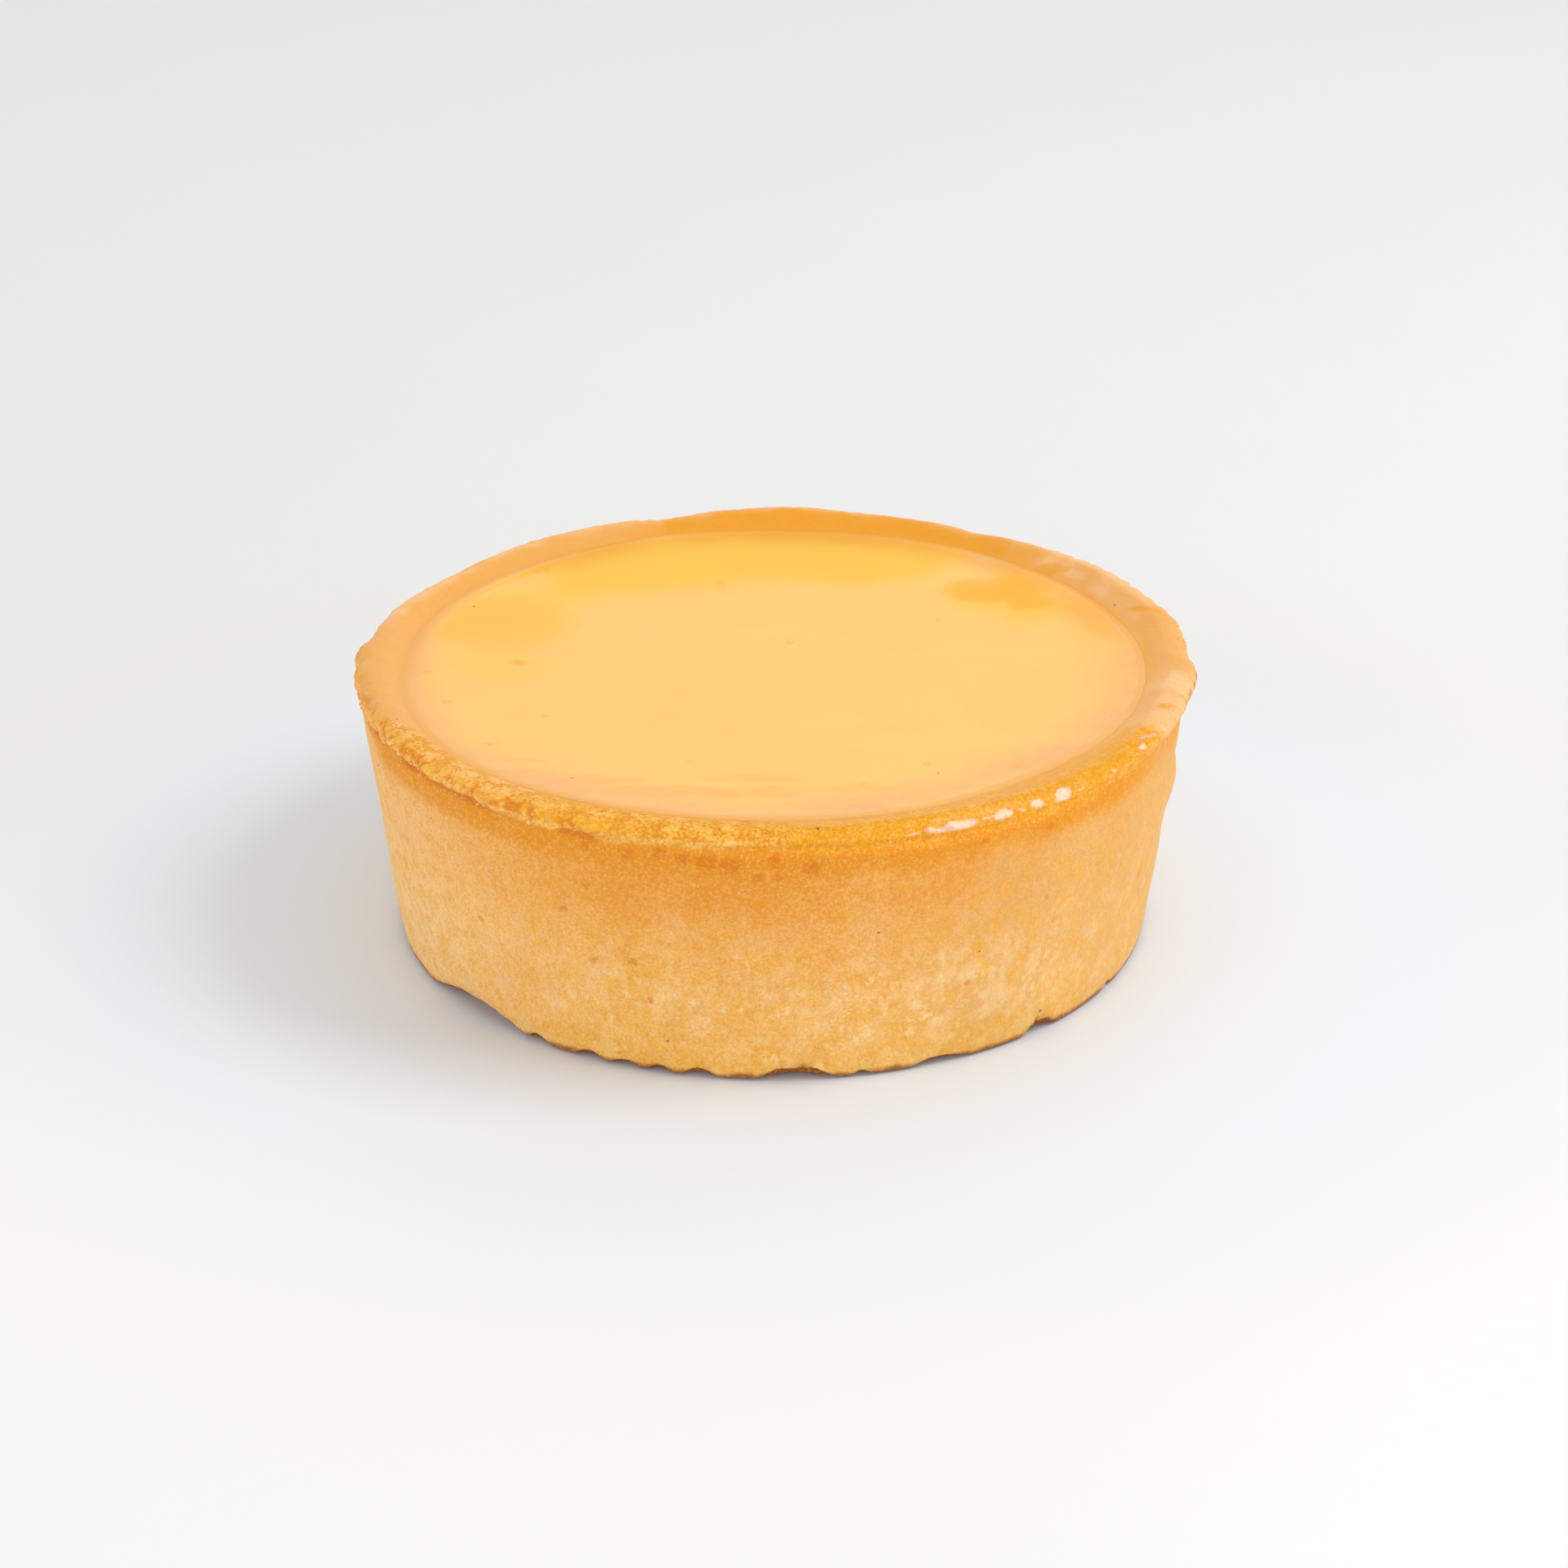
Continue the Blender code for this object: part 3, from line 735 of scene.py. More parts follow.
def shortcrust_material(look):
    """Baked shortcrust: flour, butter and sugar, matte and sandy, golden where thin and brown where hot.

    It gives the eye a warm gold softly mottled with paler flour and a fine sandy grain, caramel
    under the rim, deeper gold in the torn crumb, and a rim skinned with filling and wet with
    syrup, which is smoother, deeper in colour and shiny. Light and shade are painted in too:
    the wall paler at the left and darker at the right for the side light, shade in the crumb's
    hollows, under the lip, along the foot and in its notches, a pale sheen on the rim and
    highlights in the syrup's pools."""
    material, tree, shader = new_material("baked shortcrust")
    coords = add_node(tree, "ShaderNodeTexCoord").outputs["Object"]
    zone = {name: attribute(tree, name) for name in CASE_ZONES}
    cloudy = patches(tree, coords, 5.5, (0.38, 0.62), detail=3.0)
    colour = mix_colour(tree, cloudy, look.crust_gold, look.crust_deep)
    tan = patches(tree, coords, 2.6, (0.46, 0.6), (0.0, 0.5), 3.0, 0.6, (1.0, 1.0, 0.7))
    right = ramp(tree, zone["side_light_tone"], 0.5, 1.0)
    left = ramp(tree, zone["side_light_tone"], 0.0, 0.5, 0.65, 0.0)
    yellow = patches(tree, coords, 1.5, (0.5, 0.62), (0.0, 0.55), 3.0, 0.6)
    mottle = noise_of_size(tree, coords, 2.1 * MM, 2.0, 0.6, (1.0, 1.0, 0.8))
    spread = ramp(tree, zone["floury"], 0.0, 0.6)
    clusters = patches(tree, coords, 5, (0.36, 0.6), (0.35, 1.0))
    flecks = 0.0
    for size, strength in ((0.8, 0.8), (1.3, 1.0), (2.6, 0.8)):
        flecks = math(tree, "MAXIMUM", flecks, flecks_of_size(tree, coords, size * MM, strength))
    deeper = patches(tree, coords, 0.9, (0.5, 0.68), (0.0, 0.35), 3.0, 0.6, (1.0, 1.0, 0.8))
    grainy = math(tree, "SUBTRACT", noise_of_size(tree, coords, 0.8 * MM, 4.0, 0.65), 0.5)
    grainy = times(tree, grainy, times(tree, zone["browned_and_lip_shade"], 1.8))
    colour = lay_over(tree, colour, (
        (tan, look.crust_tan),
        # Painted light and shade: the wall's left painted paler and its right darker, for the side light
        (math(tree, "ADD", left, times(tree, right, 0.45)), look.crust_pale_side_light),
        (times(tree, right, 0.8), look.crust_tone_side_shade, "MULTIPLY"),
        (yellow, look.crust_yellow),
        (times(tree, ramp(tree, mottle, 0.50, 0.62, 0.0, 0.3), spread), look.fleck_cream),
        (times(tree, ramp(tree, mottle, 0.38, 0.49, 0.4, 0.0), spread), look.crust_yellow),
        (times(tree, times(tree, flecks, clusters), zone["floury"]), look.fleck_cream),
        (deeper, look.crust_brown_and_shade),
        # Baked brown under the rim, with painted shade in the lines just under the lip
        (math(tree, "ADD", zone["browned_and_lip_shade"], grainy, clamp=True), look.crust_brown_and_shade),
        (times(tree, spots(tree, coords, BAKED_SPOTS), 0.8), look.spot_orange)))
    sand = patches(tree, coords, 0.34, (0.4, 0.6), roughness=0.6)
    lumps = noise_of_size(tree, coords, 1.6 * MM, 3.0, 0.6)
    sandy = lay_over(tree, mix_colour(tree, sand, look.rim_gold, look.rim_deep), (
        (ramp(tree, lumps, 0.5, 0.6, 0.0, 0.75), look.rim_pink_and_sheen),
        (ramp(tree, lumps, 0.36, 0.48, 0.7, 0.0), look.wet_deep)))
    # Painted shade: deeper crumb colour in the hollows and under the lip's edge
    crumb = mix_colour(tree, zone["hollow"], look.crumb_gold, look.crumb_deep_and_shade)
    crumb = mix_colour(tree, times(tree, sand, 0.3), crumb, look.rim_deep)
    syrup = mix_colour(tree, times(tree, sand, 0.7), look.wet_gold, look.wet_deep)
    syrup = mix_colour(tree, ramp(tree, lumps, 0.54, 0.64, 0.0, 0.3), syrup, look.rim_pink_and_sheen)
    pits = times(tree, spots(tree, coords, PITS), 0.5)
    fine = noise_of_size(tree, coords, 0.3 * MM, 2.0, 0.6)
    light = patches(tree, coords, 0.22, (0.32, 0.68), (0.93, 1.06), roughness=0.7)
    grey = add_node(tree, "ShaderNodeCombineColor", {"Red": light, "Green": light, "Blue": light})
    film = math(tree, "MAXIMUM", zone["filmed"], zone["glazed"])
    dusty = times(tree, ramp(tree, zone["side_light_tone"], 0.5, 1.0, 1.0, 0.5), ramp(tree, film, 0.0, 1.0, 1.0, 0.2))
    colour = lay_over(tree, colour, (
        (zone["rim"], sandy),
        (zone["torn"], crumb),
        (zone["filmed"], look.film_tan),
        # Painted sheen and light: the rim's pale outer half at the back and its shaded slope at the right
        (times(tree, zone["pink"], 0.8), look.rim_pink_and_sheen),
        (zone["seam"], look.seam_gold),
        (zone["glazed"], look.glaze_orange),
        (zone["wet"], syrup),
        (zone["golden"], look.gold_tint, "MULTIPLY"),
        # Painted highlight: the syrup's pools tinted pale where they mirror the soft box
        (times(tree, zone["glint"], 0.7), look.painted_glint_cream),
        (times(tree, zone["edge"], ramp(tree, sand, 0.0, 1.0, 0.9, 0.3)), look.edge_cream),
        (zone["tucked"], look.tuck_orange),
        (pits, look.pit_brown),
        # Brown of the foot and its notches, partly painted shade, and of the lip's singed edge
        (zone["notched"], look.base_brown_and_shade),
        (dusty, grey.outputs[0], "MULTIPLY"),
        (times(tree, dusty, ramp(tree, fine, 0.5, 0.64, 0.0, 0.22)), look.grain_orange),
        (times(tree, dusty, ramp(tree, fine, 0.36, 0.5, 0.2, 0.0)), look.fleck_cream)))
    smooth = math(tree, "MAXIMUM", zone["wet"], times(tree, film, 0.9))
    dry = math(tree, "SUBTRACT", 1.0, times(tree, smooth, 0.85), clamp=True)
    rough = math(tree, "ADD", times(tree, noise_of_size(tree, coords, 0.8 * MM, 2.0), 1.6), fine)
    bump = add_node(tree, "ShaderNodeBump", {
        "Strength": times(tree, dry, 0.6), "Distance": 0.1 * MM,
        "Height": math(tree, "SUBTRACT", rough, pits)})
    set_inputs(tree, shader, {
        "Base Color": colour, "Normal": bump.outputs[0], "IOR": 1.45, "Specular IOR Level": 0.2,
        "Roughness": mix_number(tree, smooth, 0.75, 0.42),
        "Coat Weight": math(tree, "MAXIMUM", times(tree, zone["glint"], 0.45),
                            times(tree, zone["wet"], 0.06)),
        "Coat Roughness": 0.03, "Coat IOR": 1.6,
        "Subsurface Weight": 0.12, "Subsurface Radius": (1.0, 0.45, 0.15), "Subsurface Scale": 0.8 * MM,
    })
    return material


def crumb_material(look):
    """Broken shortcrust crumb: small grains of flour and butter, matt, cream to gold from bit to bit."""
    material, tree, shader = new_material("shortcrust crumb")
    coords = add_node(tree, "ShaderNodeTexCoord").outputs["Object"]
    each = patches(tree, coords, 0.9, (0.4, 0.6))
    colour = mix_colour(tree, each, look.edge_cream, look.crumb_deep_and_shade)
    grains = patches(tree, coords, 0.15, (0.4, 0.6), (0.0, 0.3))
    colour = mix_colour(tree, grains, colour, look.rim_deep)
    set_inputs(tree, shader, {
        "Base Color": colour, "Roughness": 0.6, "IOR": 1.45,
        "Subsurface Weight": 0.1, "Subsurface Radius": (1.0, 0.5, 0.2), "Subsurface Scale": 0.3 * MM})
    return material


def speck_material(look):
    """Burnt bits of flour and zest: nearly black brown, dry and uneven."""
    material, tree, shader = new_material("burnt speck")
    coords = add_node(tree, "ShaderNodeTexCoord").outputs["Object"]
    colour = mix_colour(tree, patches(tree, coords, 0.4, (0.4, 0.6)), look.speck_brown, look.base_brown_and_shade)
    set_inputs(tree, shader, {"Base Color": colour, "Roughness": 0.6, "IOR": 1.45})
    return material


def curd_material(look):
    """Set lemon filling: egg, sugar and lemon juice baked to a smooth opaque gel.

    It gives the eye one even warm yellow with a soft wet gloss, faint streaks from pouring, a
    few small amber bubbles and a paler skin near its edge. Deeper yellow patches partly paint
    the reflection of the yellow panel behind, and the skin's colour partly paints the pale
    sheen along the edge."""
    material, tree, shader = new_material("set lemon filling")
    coords = add_node(tree, "ShaderNodeTexCoord").outputs["Object"]
    zone = {name: attribute(tree, name) for name in CURD_ZONES}
    cloud = patches(tree, coords, 14, (0.35, 0.65))
    streaks = patches(tree, coords, 9, (0.55, 0.68), squash=(0.35, 1.6, 1.0))
    dragged = patches(tree, coords, 4.2, (0.38, 0.58), (0.55, 1.0), 3.0, 0.5, (0.35, 1.2, 1.0))
    skin = times(tree, zone["skin"], dragged)
    colour = lay_over(tree, mix_colour(tree, cloud, look.curd_yellow, look.curd_deep), (
        (times(tree, streaks, 0.35), look.curd_streak),
        (zone["warm"], look.curd_warm),
        # Partly painted reflection: deeper yellow patches where the filling mirrors the yellow panel
        (zone["deep"], look.patch_yellow_reflection),
        # A dull skin whose colour partly paints the pale sheen along the edge
        (skin, look.skin_tan_and_sheen),
        (zone["edge"], look.seam_gold),
        (zone["bubble"], look.bubble_amber)))
    dull = math(tree, "MAXIMUM", times(tree, skin, 0.65), math(tree, "MAXIMUM", zone["edge"], zone["dull"]))
    set_inputs(tree, shader, {
        "Base Color": colour, "Roughness": mix_number(tree, dull, 0.04, 0.42), "IOR": 1.42,
        "Subsurface Weight": 0.15, "Subsurface Radius": (1.0, 0.6, 0.2), "Subsurface Scale": 1.2 * MM,
    })
    return material


def floor_material(look):
    """Matt painted board: pale grey-white with the faintest mottling, and painted light: greyer towards the
    back as the light falls off, and cooler and a little darker round the tart as a painted contact shadow.
    """
    material, tree, shader = new_material("matt painted board")
    coords = add_node(tree, "ShaderNodeTexCoord").outputs["Object"]
    depth = add_node(tree, "ShaderNodeSeparateXYZ", {"Vector": coords}).outputs["Y"]
    cloud = times(tree, noise_of_size(tree, coords, 60 * MM, 3.0), 0.15)
    far = math(tree, "ADD", ramp(tree, depth, -90 * MM, 60 * MM, 0.0, 0.85), cloud)
    colour = mix_colour(tree, far, look.floor_pale, look.floor_grey_falloff)
    away = add_node(tree, "ShaderNodeVectorMath", {0: coords}, operation="LENGTH").outputs["Value"]
    near = ramp(tree, away, 36 * MM, 100 * MM, 1.0, 0.0)
    colour = mix_colour(tree, near, colour, look.floor_cool_shade)
    set_inputs(tree, shader, {"Base Color": colour, "Roughness": 0.55, "Specular IOR Level": 0.3})
    return material


# ---------------------------------------------------------------- pieces

def case_section():
    """The case's mean section and a placer for each of its points, from underside to floor."""
    top = LIP_UNDERSIDE - LIP_STEP
    under = [(0.0, 0.0), (0.5 * BASE_RADIUS, 0.0), (INNER_UNDERSIDE, 0.0)]
    under += lerp_points([(BASE_RADIUS - 2.0 * MM, 0.0), (BASE_RADIUS - FOOT_ROUNDING, 0.0),
                          (BASE_RADIUS - 0.5 * FOOT_ROUNDING, 0.1 * FOOT_ROUNDING)], FOOT_ROWS)
    wall = lerp_points([(BASE_RADIUS - 0.5 * FOOT_ROUNDING, 0.1 * FOOT_ROUNDING),
                        (BASE_RADIUS - 0.1 * FOOT_ROUNDING, 0.35 * FOOT_ROUNDING),
                        (wall_radius(WALL_FOOT), WALL_FOOT)], WALL_FOOT_ROWS)
    for low, high, rows in ((WALL_FOOT, WALL_TUCK, WALL_ROWS), (WALL_TUCK, top, TUCK_ROWS)):
        wall += lerp_points([(wall_radius(low), low), (wall_radius(high), high)], rows)
    lip = lerp_points([(wall_radius(top), top), (wall_radius(LIP_UNDERSIDE) - 0.1 * MM, LIP_UNDERSIDE),
                       (LIP_RADIUS - 0.1 * MM, LIP_UNDERSIDE + LIP_STEP),
                       (LIP_RADIUS, LIP_EDGE)], LIP_ROWS)
    lip += [shoulder(i / SHOULDER_ROWS) for i in range(SHOULDER_ROWS)]
    outside = under + wall + lip
    shares = [i / SLOPE_ROWS for i in range(SLOPE_ROWS)]
    crest = Vector((CREST_RADIUS, CASE_HEIGHT))
    edge = Vector((hollow_radius(FILLING_LEVEL), FILLING_LEVEL))
    slope = [tuple(crest.lerp(edge, share)) for share in shares]
    inside = [(hollow_radius(level), level) for level in (
        FILLING_LEVEL, FILLING_LEVEL - 0.5 * MM, FILLING_LEVEL - 1.2 * MM, 0.72 * FILLING_LEVEL,
        0.4 * FILLING_LEVEL, FLOOR_THICKNESS + 1.5 * MM)]
    inside += [(hollow_radius(FLOOR_THICKNESS) - 1.3 * MM, FLOOR_THICKNESS), (0.0, FLOOR_THICKNESS)]
    placers = [partial(place_outside, radius, height) for radius, height in outside]
    placers += [partial(rim_slope, share) for share in shares]
    placers += [partial(place_inside, radius, height) for radius, height in inside]
    return outside + slope + inside, placers


def build_case(look):
    """The case as a fine mesh: the solid's form, with lumps, crags and pits, and its zones."""
    section, placers = case_section()
    bm = spin_rings(section, placers, COARSE_STEPS, FINE_CUTS)
    layers = {name: bm.verts.layers.float.new(name) for name in CASE_ZONES}
    shift = frame_shift()
    ring = bm.verts.layers.int["ring"]
    hidden = len(section) - 5
    for vertex in bm.verts:
        if vertex[ring] >= hidden:
            continue
        point = vertex.co - shift
        angle = degrees(atan2(point.y, point.x)) % 360
        radius, height = section[vertex[ring]]
        zone = {name: reach(angle, radius, height) for name, reach in ZONES.items()}
        relief = pastry_relief(point, zone, beyond(0, 0, 0.8, height))
        # Painted shade: the torn crumb is coloured deeper in its hollows and under the lip's edge
        hollow = within(0, -0.14, 0.04, relief - 0.3 * MM * zone["slab"])
        under = 0.9 * stretch(angle, 174, 228, 6) * within(LIP_EDGE, -0.6, 0, height)
        zone["hollow"] = zone["torn"] * max(hollow, under, 0.9 * swell(angle, 181, 11))
        zone["glint"], lift = pooled(point + vertex.normal * relief, vertex.normal, angle, radius, height)
        for name, value in zone.items():
            vertex[layers[name]] = value
        vertex.co += vertex.normal * (relief + lift)
    keep_inside(bm, "pastry_case")
    return make_piece("shortcrust_case", bm, shortcrust_material(look), "pastry_case")


# Flat little pools of syrup on the wet rim, which mirror the soft box: angle, share of the round
# shoulder, half length and half height in millimetres, and lean in degrees
POOLS = (
    (288.0, 0.15, 1.0, 0.12, -6), (291.2, 0.19, 1.3, 0.30, -8), (294.3, 0.24, 2.1, 0.50, 4),
    (298.4, 0.29, 1.1, 0.12, 4), (300.8, 0.28, 1.2, 0.52, 8), (303.8, 0.26, 0.45, 0.11, -25),
    (306.3, 0.30, 0.7, 0.48, 0), (310.6, 0.34, 1.1, 0.82, 12), (328.2, 0.42, 0.5, 0.48, 20),
    (313.8, 0.22, 0.35, 0.17, 0), (331.0, 0.62, 1.3, 0.16, -30), (320.5, 0.30, 0.25, 0.30, 10),
)
SHOULDER_LENGTH = 2.6 * MM
POOL_START, POOL_END = 275, 340
POOL_VIEW = 24.7               # elevation in degrees from which the pools mirror the soft box


def pooled(point, normal, angle, radius, height):
    """How far a point of the rim lies in a pool of syrup, and the lift that levels it there."""
    if height < LIP_EDGE or radius < CREST_RADIUS - 0.01 * MM or not POOL_START < angle < POOL_END:
        return 0.0, 0.0
    share = atan2((height - LIP_EDGE) / (CASE_HEIGHT - LIP_EDGE),
                  (radius - CREST_RADIUS) / (LIP_RADIUS - CREST_RADIUS)) / (pi / 2)
    mirror = (direction(KEY_AZIMUTH, KEY_ELEVATION) + direction(270, POOL_VIEW)).normalized()
    best, lift = 0.0, 0.0
    for at_angle, at_share, half_along, half_up, lean in POOLS:
        along = radians(angle - at_angle) * LIP_RADIUS
        up = (share - at_share) * SHOULDER_LENGTH
        if abs(along) > 3.2 * MM:
            continue
        turn = radians(lean)
        a = (along * cos(turn) + up * sin(turn)) / (half_along * MM)
        b = (up * cos(turn) - along * sin(turn)) / (half_up * MM)
        outline = 1 + 0.45 * grain(angle, height, 0.8 * MM)
        inside = 1 - smooth_step(0.93, 1.1, (abs(a) ** 1.8 + abs(b) ** 1.8) * outline)
        if inside > best:
            middle = Vector(place_outside(*shoulder(at_share), at_angle)) + mirror * 0.04 * MM
            best, lift = inside, inside * (middle - point).dot(mirror) / max(normal.dot(mirror), 0.5)
    return best, lift


def curd_level(radius, point):
    """Height of the filling's top: sunk in the middle, uneven, and climbing the rim at its edge."""
    share = min(radius / FILLING_RADIUS, 1.0)
    level = FILLING_LEVEL - SAG * (1 - share ** SAG_POWER)
    waves = 0.008 * MM * noise.noise(Vector((point.x, point.y, 0.0)) / (13 * MM))
    climb = smooth_step(FILLING_RADIUS - MENISCUS_WIDTH, FILLING_RADIUS + 0.4 * MM, radius)
    return level + waves + MENISCUS_RISE * climb


def place_curd(share, angle):
    """A point of the filling's top at a share of its radius, reaching just into the rim."""
    radius = share * (FILLING_RADIUS + CURD_REACH)
    x, y, _ = place_inside(radius, FILLING_LEVEL * share, angle)
    point = Vector((x, y, 0.0))
    point.z = curd_level(radius, point)
    return point


MENISCUS_WIDTH = 1.8 * MM
MENISCUS_RISE = 0.03 * MM
CURD_REACH = 1.0 * MM         # how far the filling's top reaches past its mean radius
CURD_ZONES = ("edge", "skin", "deep", "bubble", "warm", "dull")
# Soft deeper yellow patches of the filling, partly painted reflection of the yellow panel behind:
# x and y, two half widths in millimetres, and strength
PATCHES = (
    (23.4, 20.4, 5.6, 3.6, 0.8), (27.2, 17.4, 2.6, 3.0, 0.8), (27.4, 22.6, 2.4, 3.4, 0.8),
    (32.7, 14.8, 2.1, 1.8, 0.9), (34.2, 16.4, 1.6, 1.6, 0.8), (33.9, 10.2, 1.3, 1.2, 0.9),
    (-28.5, 10.5, 8.0, 8.5, 0.35), (-26.0, 26.4, 1.8, 1.2, 0.8), (-6.0, 22.6, 1.2, 1.1, 0.5),
    (-7.0, -31.2, 11.0, 1.5, 0.75), (-16.5, -28.6, 5.0, 1.3, 0.6), (8.0, -30.6, 5.0, 1.0, 0.5),
    (-2.0, -27.8, 6.0, 0.9, 0.4), (-24.5, -24.0, 3.0, 0.9, 0.4),
)
# Stretches of the filling's edge that are a deeper orange: middle angle, half width, radius where
# it begins and where it is full, in millimetres, and strength
WARM_EDGES = (
    (83, 44, 31.5, 37.3, 1.0), (46, 18, 32.0, 37.2, 0.95), (20, 20, 31.0, 36.3, 0.75),
    (355, 30, 29.0, 36.5, 0.5), (122, 20, 32.0, 37.2, 0.8), (262, 30, 35.0, 37.8, 0.35),
    (195, 34, 31.0, 36.5, 0.35),
)
# Bubbles just under the filling's skin: x and y, and radius in millimetres
BUBBLES = (
    (-26.3, 0.5, 0.9), (1.5, 6.8, 0.5), (23.7, -25.6, 0.9), (14.6, -24.7, 0.5),
    (-32.8, -10.0, 0.6), (-22.6, -12.8, 0.45), (-27.7, -20.3, 0.6), (-35.3, -2.5, 0.6),
    (-7.4, 35.2, 0.8), (8.5, -29.5, 0.35), (17.0, 12.5, 0.3), (-8.4, -24.0, 0.3),
)


def deep_patches_and_reflection(point):
    """How deep yellow the filling is painted at a point: soft-edged patches with ragged outlines, partly
    painted reflection of the yellow panel behind.
    """
    x = point.x / MM + 0.9 * noise.noise(point / (2.4 * MM))
    y = point.y / MM + 0.9 * noise.noise(point / (2.4 * MM) + Vector((5, 2, 1)))
    return max(strength * (1 - smooth_step(0.7, 1.15, hypot((x - at_x) / half_x, (y - at_y) / half_y)))
               for at_x, at_y, half_x, half_y, strength in PATCHES)


def warmed(angle, radius):
    """How much deeper in colour the filling is towards its edge."""
    radius += 0.5 * MM * grain(angle, 0.0, 4 * MM)
    return max(strength * swell(angle, centre, half_width) ** 0.5 * beyond(0, low, high, radius)
               for centre, half_width, low, high, strength in WARM_EDGES)


def skinned(angle, radius):
    """How much of a dull pale skin covers the filling: near its edge, widest at the front. Its colour
    partly paints the pale sheen along that edge.
    """
    front = stretch(angle, 238, 326, 26)
    bare = max(stretch(angle, 58, 165, 8), 0.8 * stretch(angle, 8, 46, 6))
    wave = grain(angle, 0.0, 5 * MM) + 0.4 * grain(angle, 3 * MM, 1.6 * MM)
    width = (1.3 + 2.2 * front + 0.9 * wave) * MM
    fade = (1.6 + 2.4 * front) * MM
    start = FILLING_RADIUS - width
    return (1 - bare) * smooth_step(start - fade, start + 0.5 * fade, radius)


def build_curd(look):
    """The filling as a fine mesh that reaches just into the rim, with shallow bubbles."""
    bottom = FLOOR_THICKNESS + GAP
    low = [(0.0, bottom), (hollow_radius(bottom) - GAP - 1.5 * MM, bottom)]
    low += [(hollow_radius(level) - GAP, level) for level in (
        FLOOR_THICKNESS + 1.8 * MM, 0.4 * FILLING_LEVEL, 0.72 * FILLING_LEVEL, FILLING_LEVEL - 1.0 * MM)]
    shares = [1 - i / FILLING_ROWS for i in range(FILLING_ROWS + 1)]
    section = low + [(share * FILLING_RADIUS, FILLING_LEVEL) for share in shares]
    placers = [partial(place_inside, radius, height) for radius, height in low]
    placers += [partial(place_curd, share) for share in shares]
    bm = spin_rings(section, placers, FILLING_STEPS, 1)
    edge, skin, deep, bubble, warm, dull = (bm.verts.layers.float.new(name) for name in CURD_ZONES)
    shift = frame_shift()
    for vertex in bm.verts:
        point = vertex.co - shift
        radius = hypot(point.x - HOLLOW_CENTRE[0], point.y - HOLLOW_CENTRE[1])
        angle = degrees(atan2(point.y, point.x)) % 360
        radius -= swells(angle, HOLLOW_SWELLS)
        sides = 1.2 + 1.0 * max(swell(angle, 178, 40), swell(angle, 340, 30))
        bare = max(stretch(angle, 50, 122, 6), 0.8 * stretch(angle, 10, 44, 6),
                   0.6 * stretch(angle, 285, 352, 10))
        vertex[edge] = (1 - bare) * beyond(FILLING_RADIUS, -sides, 0.3, radius)
        vertex[skin] = skinned(angle, radius)
        vertex[warm] = warmed(angle, radius)
        vertex[dull] = beyond(FILLING_RADIUS, -0.9, 0.1, radius)
        vertex[deep] = deep_patches_and_reflection(Vector((point.x, point.y, 0.0)))
        if point.z < FILLING_LEVEL - 2 * MM:
            continue
        for x, y, size in BUBBLES:
            away = hypot(point.x / MM - x, point.y / MM - y) / size
            vertex[bubble] = max(vertex[bubble], 1 - smooth_step(0.5, 1.2, away))
        vertex.co.z -= 0.006 * MM * vertex[bubble]
    return make_piece("lemon_curd", bm, curd_material(look), "lemon_filling")


# Burnt specks: surface, angle, then height on the wall or radius on top, half length, half width
# in millimetres, and turn in degrees
SPECKS = (
    ("wall", 255.2, 4.0, 0.16, 0.12, 0), ("wall", 283.7, 16.4, 0.16, 0.13, 0),
    ("wall", 310.8, 2.7, 0.22, 0.14, 20), ("wall", 298.6, 12.2, 0.10, 0.09, 0),
    ("wall", 233.0, 9.5, 0.10, 0.08, 0), ("wall", 62.0, 7.5, 0.16, 0.12, 0),
    ("wall", 134.0, 12.5, 0.14, 0.12, 0), ("rim", 275.7, 41.0, 0.14, 0.12, 0),
    ("rim", 21.5, 38.8, 0.22, 0.17, 30), ("rim", 204.0, 40.6, 0.12, 0.10, 0),
    ("filling", 235.9, 33.7, 0.32, 0.05, 8), ("filling", 154.2, 35.2, 0.14, 0.10, 0),
    ("filling", 300.5, 31.5, 0.09, 0.07, 0),
)
CRUMBS = 340


def surface_point(surface, angle, place):
    """A point of the tart's surface: at a height of the wall, or at a radius of the rim or filling."""
    if surface == "wall":
        return Vector(place_outside(wall_radius(place), place, angle))
    if surface == "filling":
        return place_curd(place / (FILLING_RADIUS + CURD_REACH), angle)
    if place < CREST_RADIUS:
        return rim_slope((CREST_RADIUS - place) / (CREST_RADIUS - hollow_radius(FILLING_LEVEL)), angle)
    turn = acos(min((place - CREST_RADIUS) / (LIP_RADIUS - CREST_RADIUS), 1.0))
    return Vector(place_outside(*shoulder(turn / (pi / 2)), angle))


def add_bit(bm, place, size, shape=(1.0, 1.0, 1.0), turn=0.0):
    """Add one small uneven lump at a place."""
    matrix = Matrix.Translation(place) @ Matrix.Rotation(turn, 4, "Z")
    matrix @= Matrix.Diagonal((*shape, 1.0))
    verts = bmesh.ops.create_icosphere(bm, subdivisions=1, radius=size, matrix=matrix)["verts"]
    for vertex in verts:
        vertex.co += 0.45 * (vertex.co - place) * noise.noise(vertex.co / (0.3 * MM))


